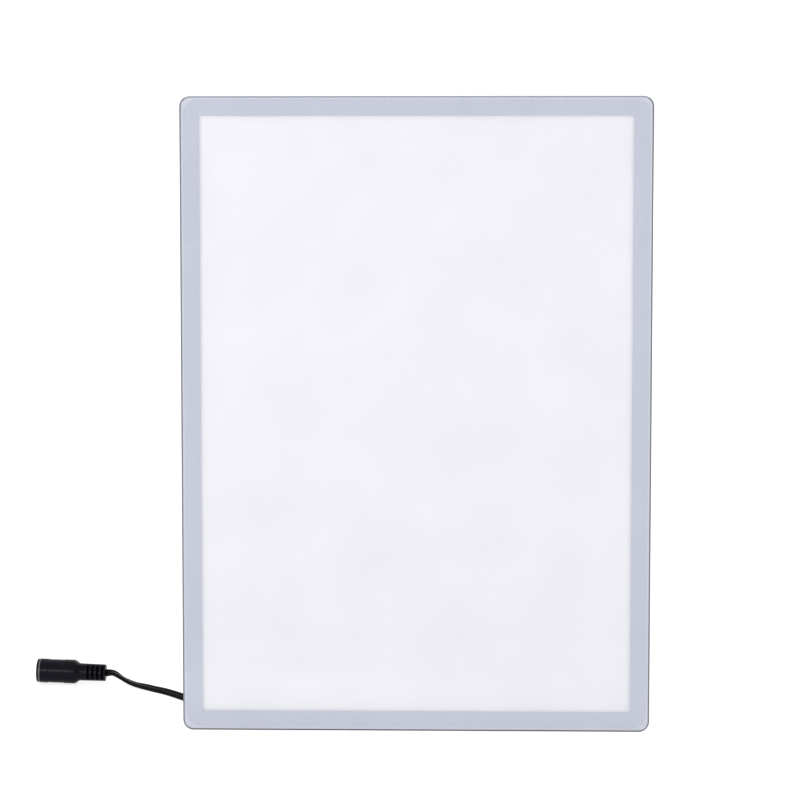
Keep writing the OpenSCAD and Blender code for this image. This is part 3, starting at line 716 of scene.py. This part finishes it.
def solids(node: str) -> list[tuple[Vector, Vector]]:
    """Finds the separate solids of a CAD node.

    Args:
        node: Name of the node.

    Returns:
        The low and high corners of each solid, in the upright panel, from left to right.
    """
    mesh = bmesh.new()
    mesh.from_mesh(frame["nodes"][node].data)
    bmesh.ops.remove_doubles(mesh, verts=mesh.verts, dist=WELD)
    mesh.transform(STANCE.matrix.inverted())
    boxes, left = [], set(mesh.verts)
    while left:
        group, edge = set(), [left.pop()]
        while edge:
            vert = edge.pop()
            group.add(vert)
            near = {e.other_vert(vert) for e in vert.link_edges} & left
            left -= near
            edge += near
        axes = list(zip(*(v.co for v in group)))
        boxes.append((Vector(map(min, axes)), Vector(map(max, axes))))
    mesh.free()
    return sorted(boxes, key=lambda box: tuple(box[0]))


# Front cover


@dataclass
class FrontCover:
    """Clear front sheet with the silver border film on its back.

    Attributes:
        width: Width of the sheet.
        height: Height of the sheet.
        corner: Radius of its corners.
        corner_steps: Flats of a corner of the sheet.
        back_edge: Rounding of its rear edge.
        end_slope: Share of Z in the normal from which a chamfer's face is at the top or the foot.
        film_margin: Clear margin outside the film.
        film_gap: Air between the sheet and the film.
        film_end: Depth of the film's back behind the sheet's face.
        border: Width of the border, from the sheet's edge to the window.
        rim_highlight: Width of the pale line of painted highlight at the film's rim.
        silver_corner: Corner radius of the silver inside that line.
        film_steps: Flats of a corner of the film.
        tile_l: Length of the tile of dots in which the border fades out.
        dots: Share of the tile, distance into the window and radius of each dot.
        dot_sides: Sides of a dot.
    """

    width: float = 226 * MM
    height: float = 306 * MM
    corner: float = 5 * MM
    corner_steps: int = 12
    back_edge: float = 0.2 * MM
    end_slope: float = 0.6
    film_margin: float = 0.2 * MM
    film_gap: float = 0.02 * MM
    film_end: float = 3.2 * MM
    border: float = 9.3 * MM
    rim_highlight: float = 1.25 * MM
    silver_corner: float = 7 * MM
    film_steps: int = 10
    tile_l: float = 2.4 * MM
    dots: tuple = ((0, 0.4 * MM, 0.32 * MM), (0.5, 1 * MM, 0.22 * MM))
    dot_sides: int = 10

    def sheet(self) -> Piece:
        """Models the front sheet: a plate with round corners and a milled chamfer round its face."""
        work = Workpiece.box(
            "front_sheet", (self.width, SHEET_T, self.height), (0, SHEET_T / 2, self.height / 2)
        )
        work.select(Part.EDGE, lambda e: abs(run_of(e).y) > ALONG)
        work.bevel(self.corner, self.corner_steps)
        work.select(Part.EDGE, lambda e: abs(middle_of(e).y) < WELD)
        work.bevel(SHEET_CHAMFER)
        work.select(Part.EDGE, lambda e: abs(middle_of(e).y - SHEET_T) < WELD)
        work.bevel(self.back_edge, EASE_STEPS)
        # The chamfer's faces get painted shade, darker along the foot, and painted light along the top
        work.mark(1, self.on_chamfer)
        work.mark(2, lambda face: self.on_chamfer(face) and face.normal.z < -self.end_slope)
        work.mark(3, lambda face: self.on_chamfer(face) and face.normal.z > self.end_slope)
        work.stand(STANCE.matrix)
        return work.hand_over("front_cover", (CLEAR_ACRYLIC, CHAMFER_SHADE, LOW_CHAMFER_SHADE, TOP_CHAMFER_LIGHT), ["cover_sheet"])

    @staticmethod
    def on_chamfer(face: bpy.types.MeshPolygon) -> bool:
        """Tells whether a face of the sheet looks forward at a slant."""
        return -ALONG < face.normal.y < -ACROSS

    @property
    def film_depth(self) -> float:
        """Width of the film's band, from its rim to the window."""
        return self.border - self.film_margin

    @property
    def film_t(self) -> float:
        """Thickness of the film."""
        return self.film_end - SHEET_T - self.film_gap

    def dot(self, x: float, y: float, radius: float) -> Workpiece:
        """Adds one dot of ink on the sheet's back, in the clear window."""
        work = Workpiece.start(
            "dot",
            bpy.ops.mesh.primitive_cylinder_add,
            vertices=self.dot_sides,
            radius=radius,
            depth=self.film_gap,
            location=(x, y, (self.film_t + self.film_gap) / 2),
        )
        work.dress(SILVER_INK, RIM_HIGHLIGHT_INK)
        return work

    def strip(self, length: float, name: str) -> Workpiece:
        """Models one side of the film: a tile with its dots, repeated along the side.

        Args:
            length: Length of the window on that side.
            name: Name of the strip.

        Returns:
            The strip, flat on the bench, with its rim at Y = 0 and its middle at X = 0.
        """
        count = round(length / self.tile_l)
        pitch = length / count
        depth = self.film_depth
        work = Workpiece.box(name, (pitch, depth, self.film_t), (0, depth / 2, 0))
        work.delete_faces(lambda f: abs(f.calc_center_median().x) > pitch / 2 - WELD)
        work.dress(SILVER_INK, RIM_HIGHLIGHT_INK)
        work.join([self.dot(share * pitch, depth + reach, radius) for share, reach, radius in self.dots])
        work.stand(Matrix.Translation((pitch / 2 - length / 2, 0, 0)))
        work.modify(
            "ARRAY",
            count=count,
            use_relative_offset=False,
            use_constant_offset=True,
            constant_offset_displace=(pitch, 0, 0),
            use_merge_vertices=True,
            merge_threshold=WELD,
        )
        return work

    def film_corner(self) -> Workpiece:
        """Models one corner of the film, its round corner at the low end of X and Y."""
        depth = self.film_depth
        work = Workpiece.box("film_corner", (depth, depth, self.film_t), (depth / 2, depth / 2, 0))
        work.select(Part.EDGE, lambda e: abs(run_of(e).z) > ALONG and middle_of(e).xy.length < WELD)
        work.bevel(self.corner - self.film_margin, self.film_steps)
        work.delete_faces(lambda f: max(f.calc_center_median().xy) > depth - WELD)
        work.dress(SILVER_INK, RIM_HIGHLIGHT_INK)
        return work

    def plate(self, name: str, margin: float, radius: float, thickness: float) -> Workpiece:
        """Models a flat plate with round corners, in front of the film.

        Args:
            name: Name of the plate.
            margin: Distance of its rim from the sheet's edge.
            radius: Radius of its corners.
            thickness: Thickness of the plate.

        Returns:
            The plate, flat on the bench, with its middle just in front of the film.
        """
        size = (self.width - 2 * margin, self.height - 2 * margin, thickness)
        work = Workpiece.box(name, size, (0, self.height / 2, (self.film_t + self.film_gap) / 2))
        work.select(Part.EDGE, lambda e: abs(run_of(e).z) > ALONG)
        work.bevel(radius, self.film_steps)
        return work

    def rim_highlight_ring(self) -> Workpiece:
        """Models the painted highlight at the film's rim: a thin ring of paler ink in front of the film,
        wider at its corners.
        """
        work = self.plate("rim_highlight", self.film_margin, self.corner - self.film_margin, self.film_gap / 2)
        inner = self.film_margin + self.rim_highlight
        work.cut(self.plate("silver_field", inner, self.silver_corner, self.film_gap))
        # The ring takes the paler ink: painted highlight
        work.mark(1)
        work.dress(SILVER_INK, RIM_HIGHLIGHT_INK)
        return work

    def film(self) -> Piece:
        """Models the border film from its four sides, four corners and rim of painted highlight."""
        window_w = self.width - 2 * self.border
        window_h = self.height - 2 * self.border
        half = self.height / 2
        work = self.strip(window_w, "border_film")
        work.stand(Matrix.Translation((0, self.film_margin - half, 0)))
        top = work.copy(Matrix.Rotation(math.pi, 4, "Z"))
        side = self.strip(window_h, "film_side")
        side.stand(
            Matrix.Rotation(-math.pi / 2, 4, "Z")
            @ Matrix.Translation((0, self.film_margin - self.width / 2, 0))
        )
        other = side.copy(Matrix.Rotation(math.pi, 4, "Z"))
        corners = []
        first = self.film_corner()
        for quarter in range(4):
            across, along = (self.width, self.height) if quarter % 2 == 0 else (self.height, self.width)
            shift = Matrix.Translation((self.film_margin - across / 2, self.film_margin - along / 2, 0))
            corners.append(first.copy(Matrix.Rotation(quarter * math.pi / 2, 4, "Z") @ shift))
        first.discard()
        work.join([top, side, other, *corners])
        work.weld()
        work.stand(Matrix.Translation((0, half, 0)))
        work.join([self.rim_highlight_ring()])
        upright = Matrix.Rotation(math.pi / 2, 4, "X")
        work.stand(STANCE.matrix @ Matrix.Translation((0, self.film_end - self.film_t / 2, 0)) @ upright)
        return work.hand_over("front_cover", (SILVER_INK, RIM_HIGHLIGHT_INK), ["border_print"])

    def build(self) -> None:
        """Builds the cover's pieces."""
        self.sheet()
        self.film()


# Screws


def towards(way: Vector, place: Vector, spin: float = 0.0) -> Matrix:
    """Places a piece that was modelled along Z so that it points another way.

    Args:
        way: Where its Z axis goes.
        place: Where its origin goes.
        spin: Turn about its own axis.

    Returns:
        The matrix.
    """
    turn = Vector((0, 0, 1)).rotation_difference(way).to_matrix().to_4x4()
    return Matrix.Translation(place) @ turn @ Matrix.Rotation(spin, 4, "Z")


@dataclass(frozen=True)
class Screw:
    """Screw with a cross recess, modelled along Z, a pan head's seat or a flat head's top at Z = 0.

    Attributes:
        shank_d: Diameter of the shank.
        shank_l: Length of the screw below Z = 0.
        head_d: Diameter of the head.
        head_t: Height of a pan head, or depth of a flat one.
        spin: Turn of each screw's recess from that of the one before it.
        countersunk: True for a flat head that tapers to the shank.
        rim: Edge of a flat head.
        sides: Sides of a ring.
    """

    shank_d: float
    shank_l: float
    head_d: float
    head_t: float
    spin: float
    countersunk: bool = False
    rim: float = 0.06 * MM
    sides: int = 24

    # Radius of the tip and length of its taper, as shares of the shank's radius
    TIP = 0.7
    TAPER = 0.3
    # Innermost ring of a flat head's top, as a share of the head's radius
    FLAT_RING = 0.6
    # Rings of a pan head from its seat to its crown, as shares of its height and radius
    PAN_RINGS = ((0, 0.94), (0.15, 1), (0.45, 1), (0.72, 0.93), (0.9, 0.78), (1, 0.5))
    # Length and width of an arm of the recess, as shares of the head's diameter, and its depth, as a
    # share of the head's height, with the shares of that length and width that are left at its floor
    RECESS_L = 0.56
    RECESS_W = 0.13
    RECESS_DEPTH = 0.55
    RECESS_FLOOR = (0.45, 0.6)

    def profile(self) -> list[tuple[float, float]]:
        """Lists the rings of the screw, from its tip to its head."""
        r, head = self.shank_d / 2, self.head_d / 2
        tip = [(-self.shank_l, r * self.TIP), (r * self.TAPER - self.shank_l, r)]
        if self.countersunk:
            top = [(-self.rim, head), (0.0, head - self.rim), (0.0, head * self.FLAT_RING)]
            return [*tip, (-self.head_t, r), *top]
        return [*tip, (0.0, r), *((self.head_t * up, head * out) for up, out in self.PAN_RINGS)]

    def recess(self, turn: float) -> Workpiece:
        """Adds the cutter for one arm of the cross recess."""
        top = 0.0 if self.countersunk else self.head_t
        depth = self.RECESS_DEPTH * self.head_t
        size = (self.RECESS_L * self.head_d, self.RECESS_W * self.head_d, 2 * depth)
        work = Workpiece.box("recess", size, (0, 0, top))
        work.select(Part.FACE, lambda f: f.normal.z < -ALONG)
        bpy.ops.transform.resize(value=(*self.RECESS_FLOOR, 1), center_override=(0, 0, top - depth))
        work.stand(Matrix.Rotation(turn, 4, "Z"))
        return work

    def seat(self, low: Vector, high: Vector) -> tuple[Vector, Vector]:
        """Finds how a screw sits in the upright panel.

        Args:
            low: Low corner of its solid.
            high: High corner of its solid.

        Returns:
            Where its head points, and where its origin goes.
        """
        centre = (low + high) / 2
        if not self.countersunk:
            return Vector((0, 1, 0)), Vector((centre.x, high.y - self.head_t, centre.z))
        size = high - low
        axis, middle = (0, 0.0) if size.x < size.z else (2, FrontCover.height / 2)
        upper = centre[axis] > middle
        way = Vector((0, 0, 0))
        way[axis] = 1 if upper else -1
        centre[axis] = high[axis] if upper else low[axis]
        return way, centre

    def fasten(self, name: str, node: str) -> Piece:
        """Stands such screws in for all the screws of a CAD node.

        Args:
            name: Name of the piece.
            node: CAD node that it stands for.

        Returns:
            The finished piece.
        """
        work = Workpiece.turned(name, self.profile(), self.sides)
        work.cut(self.recess(0.0), self.recess(math.pi / 2))
        places = []
        for number, (low, high) in enumerate(solids(node)):
            way, place = self.seat(low, high)
            places.append(STANCE.matrix @ towards(way, place, self.spin * number))
        work.repeat(places)
        return work.hand_over("housing", (SCREW_STEEL,), [node])


# Housing


@dataclass
class Housing:
    """Frame rails, back sheet, foot pads and their screws.

    Attributes:
        rail_ease: Rounding of the rails' edges.
        sheet_ease: Rounding of the back sheet's edges.
        pad_ease: Rounding of the foot pads' edges.
        long_edge: Length above which an edge of the rails or the back sheet is rounded.
        pad_edge: Length above which an edge of the foot pads is rounded.
        back_screw: Screw of the back sheet.
        corner_screw: Screw of the frame's corners.
    """

    rail_ease: float = 0.25 * MM
    sheet_ease: float = 0.3 * MM
    pad_ease: float = 0.5 * MM
    long_edge: float = 30 * MM
    pad_edge: float = 2 * MM
    back_screw: Screw = Screw(2 * MM, 8 * MM, 3.8 * MM, 1.3 * MM, spin=0.7)
    corner_screw: Screw = Screw(2 * MM, 3.2 * MM, 3.8 * MM, 0.9 * MM, spin=0.5, countersunk=True)

    def rails(self) -> None:
        """Models the four mitred rails."""
        for side in ("left", "right", "top", "bottom"):
            finish = RAIL_UPRIGHT if side in ("left", "right") else RAIL_ACROSS
            eased(f"rail_{side}", f"frame_rail_{side}", "housing", self.rail_ease, finish, self.long_edge)

    def build(self) -> None:
        """Builds the housing's pieces."""
        self.rails()
        eased("back_panel", "back_sheet", "housing", self.sheet_ease, BACK_WHITE, self.long_edge)
        eased("foot_pads", "rubber_pads", "housing", self.pad_ease, RUBBER, self.pad_edge)
        self.back_screw.fasten("back_sheet_screws", "back_screws")
        self.corner_screw.fasten("frame_corner_screws", "corner_screws")


# Hinge and leg


@dataclass
class Stand:
    """Hinge bracket with its screws and pin, and the fold-out leg with its foot.

    Attributes:
        bracket_ease: Rounding of the bracket's bent edges.
        leg_ease: Rounding of the leg's edges.
        foot_ease: Rounding of the rubber foot's edges.
        pin_ease: Rounding of the pin's edges.
        bracket_screw: Screw of the bracket.
    """

    bracket_ease: float = 0.35 * MM
    leg_ease: float = 0.5 * MM
    foot_ease: float = 0.8 * MM
    pin_ease: float = 0.25 * MM
    bracket_screw: Screw = Screw(2.5 * MM, 5 * MM, 4.6 * MM, 1.6 * MM, spin=0.9)

    def build(self) -> None:
        """Builds the hinge and the leg."""
        eased("hinge_bracket", "leg_bracket", "housing", self.bracket_ease, PLATED_STEEL)
        eased("hinge_pin", "leg_pin", "housing", self.pin_ease, SCREW_STEEL)
        self.bracket_screw.fasten("hinge_bracket_screws", "bracket_screws")
        eased("leg_strut", "leg_plate", "stand_leg", self.leg_ease, LEG_ALUMINIUM)
        eased("leg_foot", "leg_rubber_foot", "stand_leg", self.foot_ease, RUBBER)


# Lead and jack


def metres(outline: Sequence[tuple[float, float]]) -> list[tuple[float, float]]:
    """Turns an outline in millimetres into metres."""
    return [(along * MM, radius * MM) for along, radius in outline]


@dataclass
class Lead:
    """Short flat twin lead with its strain relief and the inline jack at its end.

    Attributes:
        width: Width of the flat cord.
        thickness: Thickness of the flat cord.
        entry: Place of the lead's entry on the upright panel, across, back and up.
        straight: Straight run at each end of the cord.
        rolls: Degrees by which the cord rolls at the two ends of each straight run.
        jack_place: Middle of the jack's neck end.
        jack_turn: Turn of the jack about Z.
        jack_tilt: Rise of the jack towards its mouth.
        rings: Rings of the cord's tube between two points of its route.
        core_sides: Points round each core of the cord's section.
        core_sweep: Angle from the outermost point of a core to the groove between the cores.
        jack_sides: Sides of a ring of the jack.
        slots: Number of slots in each side of the neck.
        slot_start: Where the first slot begins, from the neck's end.
        slot_pitch: Distance from one slot to the next.
        slot_l: Width of a slot.
        slot_web: Thickness of what the slots leave of the neck.
        slot_roll: Turn of the slots about the jack's axis.
        slot_shade_r: Distance from the axis within which a face of the neck is deep in a slot, where it gets
            painted shade.
        mouth_highlight_start: Where the painted highlight round the mouth's rim begins, from the neck's end.
        mouth_highlight_r: Distance from the axis beyond which a face there gets that painted highlight.
        relief_sides: Sides of a ring of the strain relief.
    """

    width: float = 4 * MM
    thickness: float = 2 * MM
    entry: tuple = (-50 * MM, 25.2 * MM, 16 * MM)
    straight: float = 4 * MM
    rolls: tuple = (0, 0, 6, 42)
    jack_place: tuple = (-159.65 * MM, 64.8 * MM, 5.545 * MM)
    jack_turn: float = math.radians(180)
    jack_tilt: float = math.radians(2)
    rings: int = 6
    core_sides: int = 11
    core_sweep: float = math.radians(125)
    jack_sides: int = 48
    slots: int = 4
    slot_start: float = 1 * MM
    slot_pitch: float = 2.45 * MM
    slot_l: float = 1.2 * MM
    slot_web: float = 4.4 * MM
    slot_roll: float = math.radians(20)
    slot_shade_r: float = 4 * MM
    mouth_highlight_start: float = 33.4 * MM
    mouth_highlight_r: float = 5.5 * MM
    relief_sides: int = 40

    # Route over the table between the strain relief and the jack, in millimetres across, behind the
    # sheet's lower front edge and up, with the degrees by which the flat cord rolls there
    ROUTE = (
        (-51, 36, 10.5, 0),
        (-54, 40, 8.6, 0),
        (-60, 42, 6.4, 0),
        (-67, 42, 4.4, 0),
        (-75, 41, 2.6, 0),
        (-83, 39.5, 1.5, 0),
        (-91, 38, 1, 10),
        (-99, 37, 1, 20),
        (-106, 36.6, 1, 25),
        (-112, 37.6, 1, 25),
        (-117.5, 42, 1, 25),
        (-123, 46.5, 1, 23),
        (-128.5, 50.5, 1, 19),
        (-134, 53.7, 1, 14),
        (-139.5, 57.2, 1.1, 9),
        (-144, 59.2, 1.5, -5),
        (-148, 61.2, 2.3, -13),
        (-151.5, 62.8, 3.6, -22),
    )
    # Outline of the jack's overmould in millimetres: distance from the neck's end, and radius
    JACK_OUTLINE = (
        # Neck
        *((0, 3.1), (0, 3.9), (0.12, 4.15), (0.35, 4.26), (13.1, 4.4)),
        # Shoulder
        *((13.5, 4.55), (15.3, 5.85), (16, 6.1)),
        # Grip, a little thinner between two rings
        *((21.2, 6.1), (21.4, 5.95), (29.25, 5.95), (29.45, 6.1)),
        # Rim
        *((33.3, 6.1), (33.85, 6.07), (34.05, 5.9), (34.05, 5.35)),
        # Mouth
        *((19.1, 5.35), (19.1, 2.7)),
    )
    # Outline of the strain relief in millimetres, distance from its tip and radius: the tip of its
    # snout, then the flange with the neck that holds it in the back sheet
    RELIEF_TIP = ((0, 2.4), (0, 2.6), (0.2, 2.8))
    RELIEF_FLANGE = (
        *((9, 3.2), (9, 4.7), (9.25, 5), (10.3, 5), (10.5, 4.8), (10.5, 3.2)),
        *((12.5, 3.2), (12.5, 4), (14.6, 4), (14.6, 2)),
    )
    # Where the grooves round the snout begin, and the outline of one from there
    GROOVE_STARTS = (1.6, 3.6, 5.6)
    GROOVE = ((0, 0), (0.2, -0.5), (0.8, -0.45), (1, 0.05))

    @property
    def jack_matrix(self) -> Matrix:
        """Places what was modelled along Z from the neck's end to the jack's mouth."""
        x, y, z = self.jack_place
        turn = Matrix.Rotation(self.jack_turn, 4, "Z")
        tilt = Matrix.Rotation(math.pi / 2 - self.jack_tilt, 4, "Y")
        return Matrix.Translation((x, y + STANCE.shift, z)) @ turn @ tilt

    @property
    def core_reach(self) -> float:
        """Distance of each core's middle from the middle of the flat cord."""
        return self.width / 2 - self.thickness / 2

    def route(self) -> list[Vector]:
        """Lists the route's points, from the strain relief to the jack, each with the cord's roll."""
        x, y, z = self.entry
        tip = [STANCE.matrix @ Vector((x, y + run, z)) for run in (0, self.straight)]
        table = [Vector((x * MM, y * MM + STANCE.shift, z * MM)) for x, y, z, _ in self.ROUTE]
        end = [self.jack_matrix @ Vector((0, 0, run)) for run in (-self.straight, 0)]
        rolls = [*self.rolls[:2], *(roll for *_, roll in self.ROUTE), *self.rolls[2:]]
        return [Vector((*point, math.radians(roll))) for point, roll in zip([*tip, *table, *end], rolls)]

    def smooth_route(self) -> list[Vector]:
        """Runs a smooth curve through the route's points and rolls."""
        points = self.route()
        padded = [2 * points[0] - points[1], *points, 2 * points[-1] - points[-2]]
        line = []
        for a, b, c, d in zip(padded, padded[1:], padded[2:], padded[3:]):
            for step in range(self.rings):
                t = step / self.rings
                line.append(
                    b
                    + (c - a) * (t / 2)
                    + (2 * a - 5 * b + 4 * c - d) * (t * t / 2)
                    + (3 * b - a - 3 * c + d) * (t**3 / 2)
                )
        return [*line, points[-1]]

    def section(self) -> list[tuple[float, float]]:
        """Lists the cord's section: two round cores with a groove between them."""
        r = self.thickness / 2
        angles = [self.core_sweep * (2 * k / (self.core_sides - 1) - 1) for k in range(self.core_sides)]
        right = [(self.core_reach + r * math.cos(a), r * math.sin(a)) for a in angles]
        return [*right, *((-x, -y) for x, y in right)]

    def cord(self) -> Piece:
        """Models the flat cord as a tube along its route, which rolls and lies on the table."""
        section = self.section()
        sides = len(section)
        line, rolls = [], []
        for *point, roll in self.smooth_route():
            rise = self.thickness / 2 + self.core_reach * abs(math.sin(roll))
            line.append(Vector((*point[:2], max(point[2], rise))))
            rolls.append(roll)
        points = []
        for i, centre in enumerate(line):
            along = (line[min(i + 1, len(line) - 1)] - line[max(i - 1, 0)]).normalized()
            flat = along.cross(Vector((0, 0, 1))).normalized()
            across = Matrix.Rotation(-rolls[i], 3, along) @ flat
            over = across.cross(along)
            points += [centre + across * x + over * y for x, y in section]
        last = (len(line) - 1) * sides
        faces = []
        for ring in range(0, last, sides):
            for k in range(sides):
                after = (k + 1) % sides
                faces.append((ring + k, ring + after, ring + sides + after, ring + sides + k))
        faces += [tuple(reversed(range(sides))), tuple(range(last, last + sides))]
        mesh = bpy.data.meshes.new("power_lead")
        mesh.from_pydata(points, [], faces)
        work = Workpiece(put("power_lead", mesh))
        work.weld()
        piece = work.hand_over("housing", (LEAD_PVC,), ["power_cord"])
        self.jack()
        return piece

    def neck_slot(self, number: int, side: int) -> Workpiece:
        """Adds the cutter for one slot, counted from 0, in a side of the jack's neck."""
        reach = 2 * self.slot_web
        height = self.slot_start + number * self.slot_pitch + self.slot_l / 2
        centre = (0, side * (self.slot_web + reach) / 2, height)
        work = Workpiece.box("slot", (reach, reach, self.slot_l), centre)
        work.stand(Matrix.Rotation(self.slot_roll, 4, "Z"))
        return work

    def jack(self) -> Piece:
        """Models the jack's overmould: slotted neck, shoulder, grip rings and an open mouth."""
        work = Workpiece.turned("jack_overmould", metres(self.JACK_OUTLINE), self.jack_sides)
        work.cut(*(self.neck_slot(number, side) for number in range(self.slots) for side in (-1, 1)))
        low, high = self.slot_start / 2, self.slot_start + self.slots * self.slot_pitch
        # Painted highlight on the rim of the mouth
        work.mark(1, lambda f: f.center.z > self.mouth_highlight_start and f.center.xy.length > self.mouth_highlight_r)
        # Painted shade deep in the neck's slots
        work.mark(2, lambda f: low < f.center.z < high and f.center.xy.length < self.slot_shade_r)
        work.stand(self.jack_matrix)
        return work.hand_over("housing", (JACK_PVC, MOUTH_HIGHLIGHT_PVC, SLOT_SHADE_PVC), ["jack_shell"])

    def strain_relief(self) -> Piece:
        """Models the strain relief: a flange on the back sheet and a ringed, tapering snout."""
        tip_r = self.RELIEF_TIP[-1][1]
        snout_l, root_r = self.RELIEF_FLANGE[0]
        grooves = []
        for start in self.GROOVE_STARTS:
            r = tip_r + (root_r - tip_r) * start / snout_l
            grooves += [(start + along, r + out) for along, out in self.GROOVE]
        outline = metres([*self.RELIEF_TIP, *grooves, *self.RELIEF_FLANGE])
        work = Workpiece.turned("lead_strain_relief", outline, self.relief_sides)
        work.stand(STANCE.matrix @ towards(Vector((0, -1, 0)), Vector(self.entry)))
        return work.hand_over("housing", (RUBBER,), ["cord_grommet"])

    def build(self) -> None:
        """Builds the lead and what is on it."""
        self.cord()
        self.strain_relief()


# Nodes that keep their solids

PLAIN_NODES = {
    "cover_magnets": NICKEL,
    "corner_keys": ZINC,
    "keeper_strips": STRIP_STEEL,
    "screw_blocks": ZINC,
    "diffuser_sheet": OPAL,
    "light_guide": GUIDE,
    "reflector_sheet": REFLECTOR,
    "pressure_pads": FOAM,
    "led_board_left": BOARD,
    "led_board_right": BOARD,
    "leds_left": PHOSPHOR,
    "leds_right": PHOSPHOR,
    "lead_wires_left": WIRE,
    "lead_wires_right": WIRE,
    "hinge_backplate": PLATED_STEEL,
    "pin_clip": SCREW_STEEL,
    "hinge_washers": PLATED_STEEL,
    "jack_insert": JACK_PBT,
    "jack_sleeve": CONTACT,
    "jack_pin": CONTACT,
}


def dress_nodes() -> None:
    """Gives each CAD node that keeps its solids its finish."""
    for node, finish in PLAIN_NODES.items():
        mesh = frame["nodes"][node].data
        mesh.materials.clear()
        mesh.materials.append(finish.material())
        LOG.info("%s is dressed as %s", node, finish.name)


# Studio


@dataclass(frozen=True)
class Lamp:
    """Square soft box.

    Attributes:
        name: Name of the lamp.
        place: Where it hangs.
        aim: Point that it faces.
        side: Length of its side.
        power: Power in watts.
    """

    name: str
    place: tuple
    aim: tuple
    side: float
    power: float

    def hang(self) -> None:
        """Hangs the lamp in the studio."""
        data = bpy.data.lights.new(self.name, "AREA")
        data.shape = "SQUARE"
        data.size = self.side
        data.energy = self.power
        lamp = put(self.name, data)
        lamp.location = self.place
        lamp.rotation_euler = (Vector(self.aim) - Vector(self.place)).to_track_quat("-Z", "Y").to_euler()


@dataclass
class Studio:
    """Camera, soft light and a white floor.

    Attributes:
        eye: Place of the camera.
        gaze: Turn of the camera, in degrees about X, Y and Z.
        lens: Focal length in millimetres.
        sensor: Width of the camera's frame in millimetres.
        sight: How far the camera sees.
        ambient: Strength of the light from all round.
        floor_size: Side of the floor.
        floor_paper: Colour with which the floor lights the part, as sRGB hex.
        floor_shade: Colour of the seen floor, on which shadows show, as sRGB hex.
        floor_glow: Light that the seen floor adds to what falls on it.
        lamps: Two wide lamps in front and one behind, and a small one for the streak along the jack.
    """

    eye: tuple = (0.01904, -1.13352, 0.44664)
    gaze: tuple = (75.567, 0.216, 1.315)
    lens: float = 108
    sensor: float = 36
    sight: float = 100
    ambient: float = 0.72
    floor_size: float = 24
    floor_paper: str = "f6f6f7"
    floor_shade: str = "bcbcbc"
    floor_glow: float = 0.76
    lamps: tuple[Lamp, ...] = (
        Lamp("key", (-1.25, -1.15, 0.7), aim=(0, 0, 0.1), side=1.3, power=5),
        Lamp("fill", (1.35, -1, 0.7), aim=(0, 0, 0.1), side=1.3, power=4.7),
        Lamp("rear", (0.35, 1.5, 0.8), aim=(0, 0, 0.1), side=1.2, power=7),
        Lamp("front", (-0.44, -1.64, 0.68), aim=(-0.18, 0, 0), side=0.2, power=5.5),
    )

    def camera(self) -> None:
        """Sets the camera at the photograph's viewing angle."""
        data = bpy.data.cameras.new("camera")
        data.lens = self.lens
        data.sensor_width = self.sensor
        data.clip_end = self.sight
        camera = put("camera", data)
        camera.location = self.eye
        camera.rotation_euler = [math.radians(a) for a in self.gaze]
        bpy.context.scene.camera = camera

    @staticmethod
    def seen(tree: Tree) -> Socket:
        """Adds a switch that is 1 for what is seen straight on, through glass or in a mirror."""
        path = add(tree, "ShaderNodeLightPath").outputs
        switch = path["Is Camera Ray"]
        for ray in ("Is Transmission Ray", "Is Glossy Ray"):
            switch = add(tree, "ShaderNodeMath", {0: switch, 1: path[ray]}, operation="MAXIMUM").outputs[0]
        return switch

    def world(self) -> None:
        """Sets a soft, even light that shows as plain white."""
        world = bpy.data.worlds.new("studio")
        tree = blank_tree(world)
        levels = {"Value": self.seen(tree), "To Min": self.ambient, "To Max": 1.0}
        strength = add(tree, "ShaderNodeMapRange", levels).outputs[0]
        light = add(tree, "ShaderNodeBackground", {"Color": linear("ffffff"), "Strength": strength})
        add(tree, "ShaderNodeOutputWorld", {"Surface": light.outputs[0]})
        bpy.context.scene.world = world

    def floor(self) -> None:
        """Lays a white floor that keeps the object's shadow."""
        work = Workpiece.start("studio_floor", bpy.ops.mesh.primitive_plane_add, size=self.floor_size)
        made = bpy.data.materials.new("studio_floor_paper")
        tree = blank_tree(made)
        lit = add(tree, "ShaderNodeBsdfDiffuse", {"Color": linear(self.floor_paper)}).outputs[0]
        shade = add(tree, "ShaderNodeBsdfDiffuse", {"Color": linear(self.floor_shade)}).outputs[0]
        light = {"Color": linear("ffffff"), "Strength": self.floor_glow}
        glow = add(tree, "ShaderNodeEmission", light).outputs[0]
        shown = add(tree, "ShaderNodeAddShader", {0: shade, 1: glow}).outputs[0]
        mixed = add(tree, "ShaderNodeMixShader", {0: self.seen(tree), 1: lit, 2: shown}).outputs[0]
        add(tree, "ShaderNodeOutputMaterial", {"Surface": mixed})
        work.piece.data.materials.append(made)

    def build(self) -> None:
        """Builds the studio round the part."""
        self.world()
        self.floor()
        for lamp in self.lamps:
            lamp.hang()
        bpy.context.scene.view_settings.view_transform = "Standard"


def main() -> None:
    """Builds the studio and dresses the part, piece by piece."""
    logging.basicConfig(level=logging.INFO, format="%(name)s: %(message)s")
    studio = Studio()
    studio.camera()
    Lead().build()
    FrontCover().build()
    Housing().build()
    Stand().build()
    dress_nodes()
    studio.build()


if __name__ == "__main__":
    main()
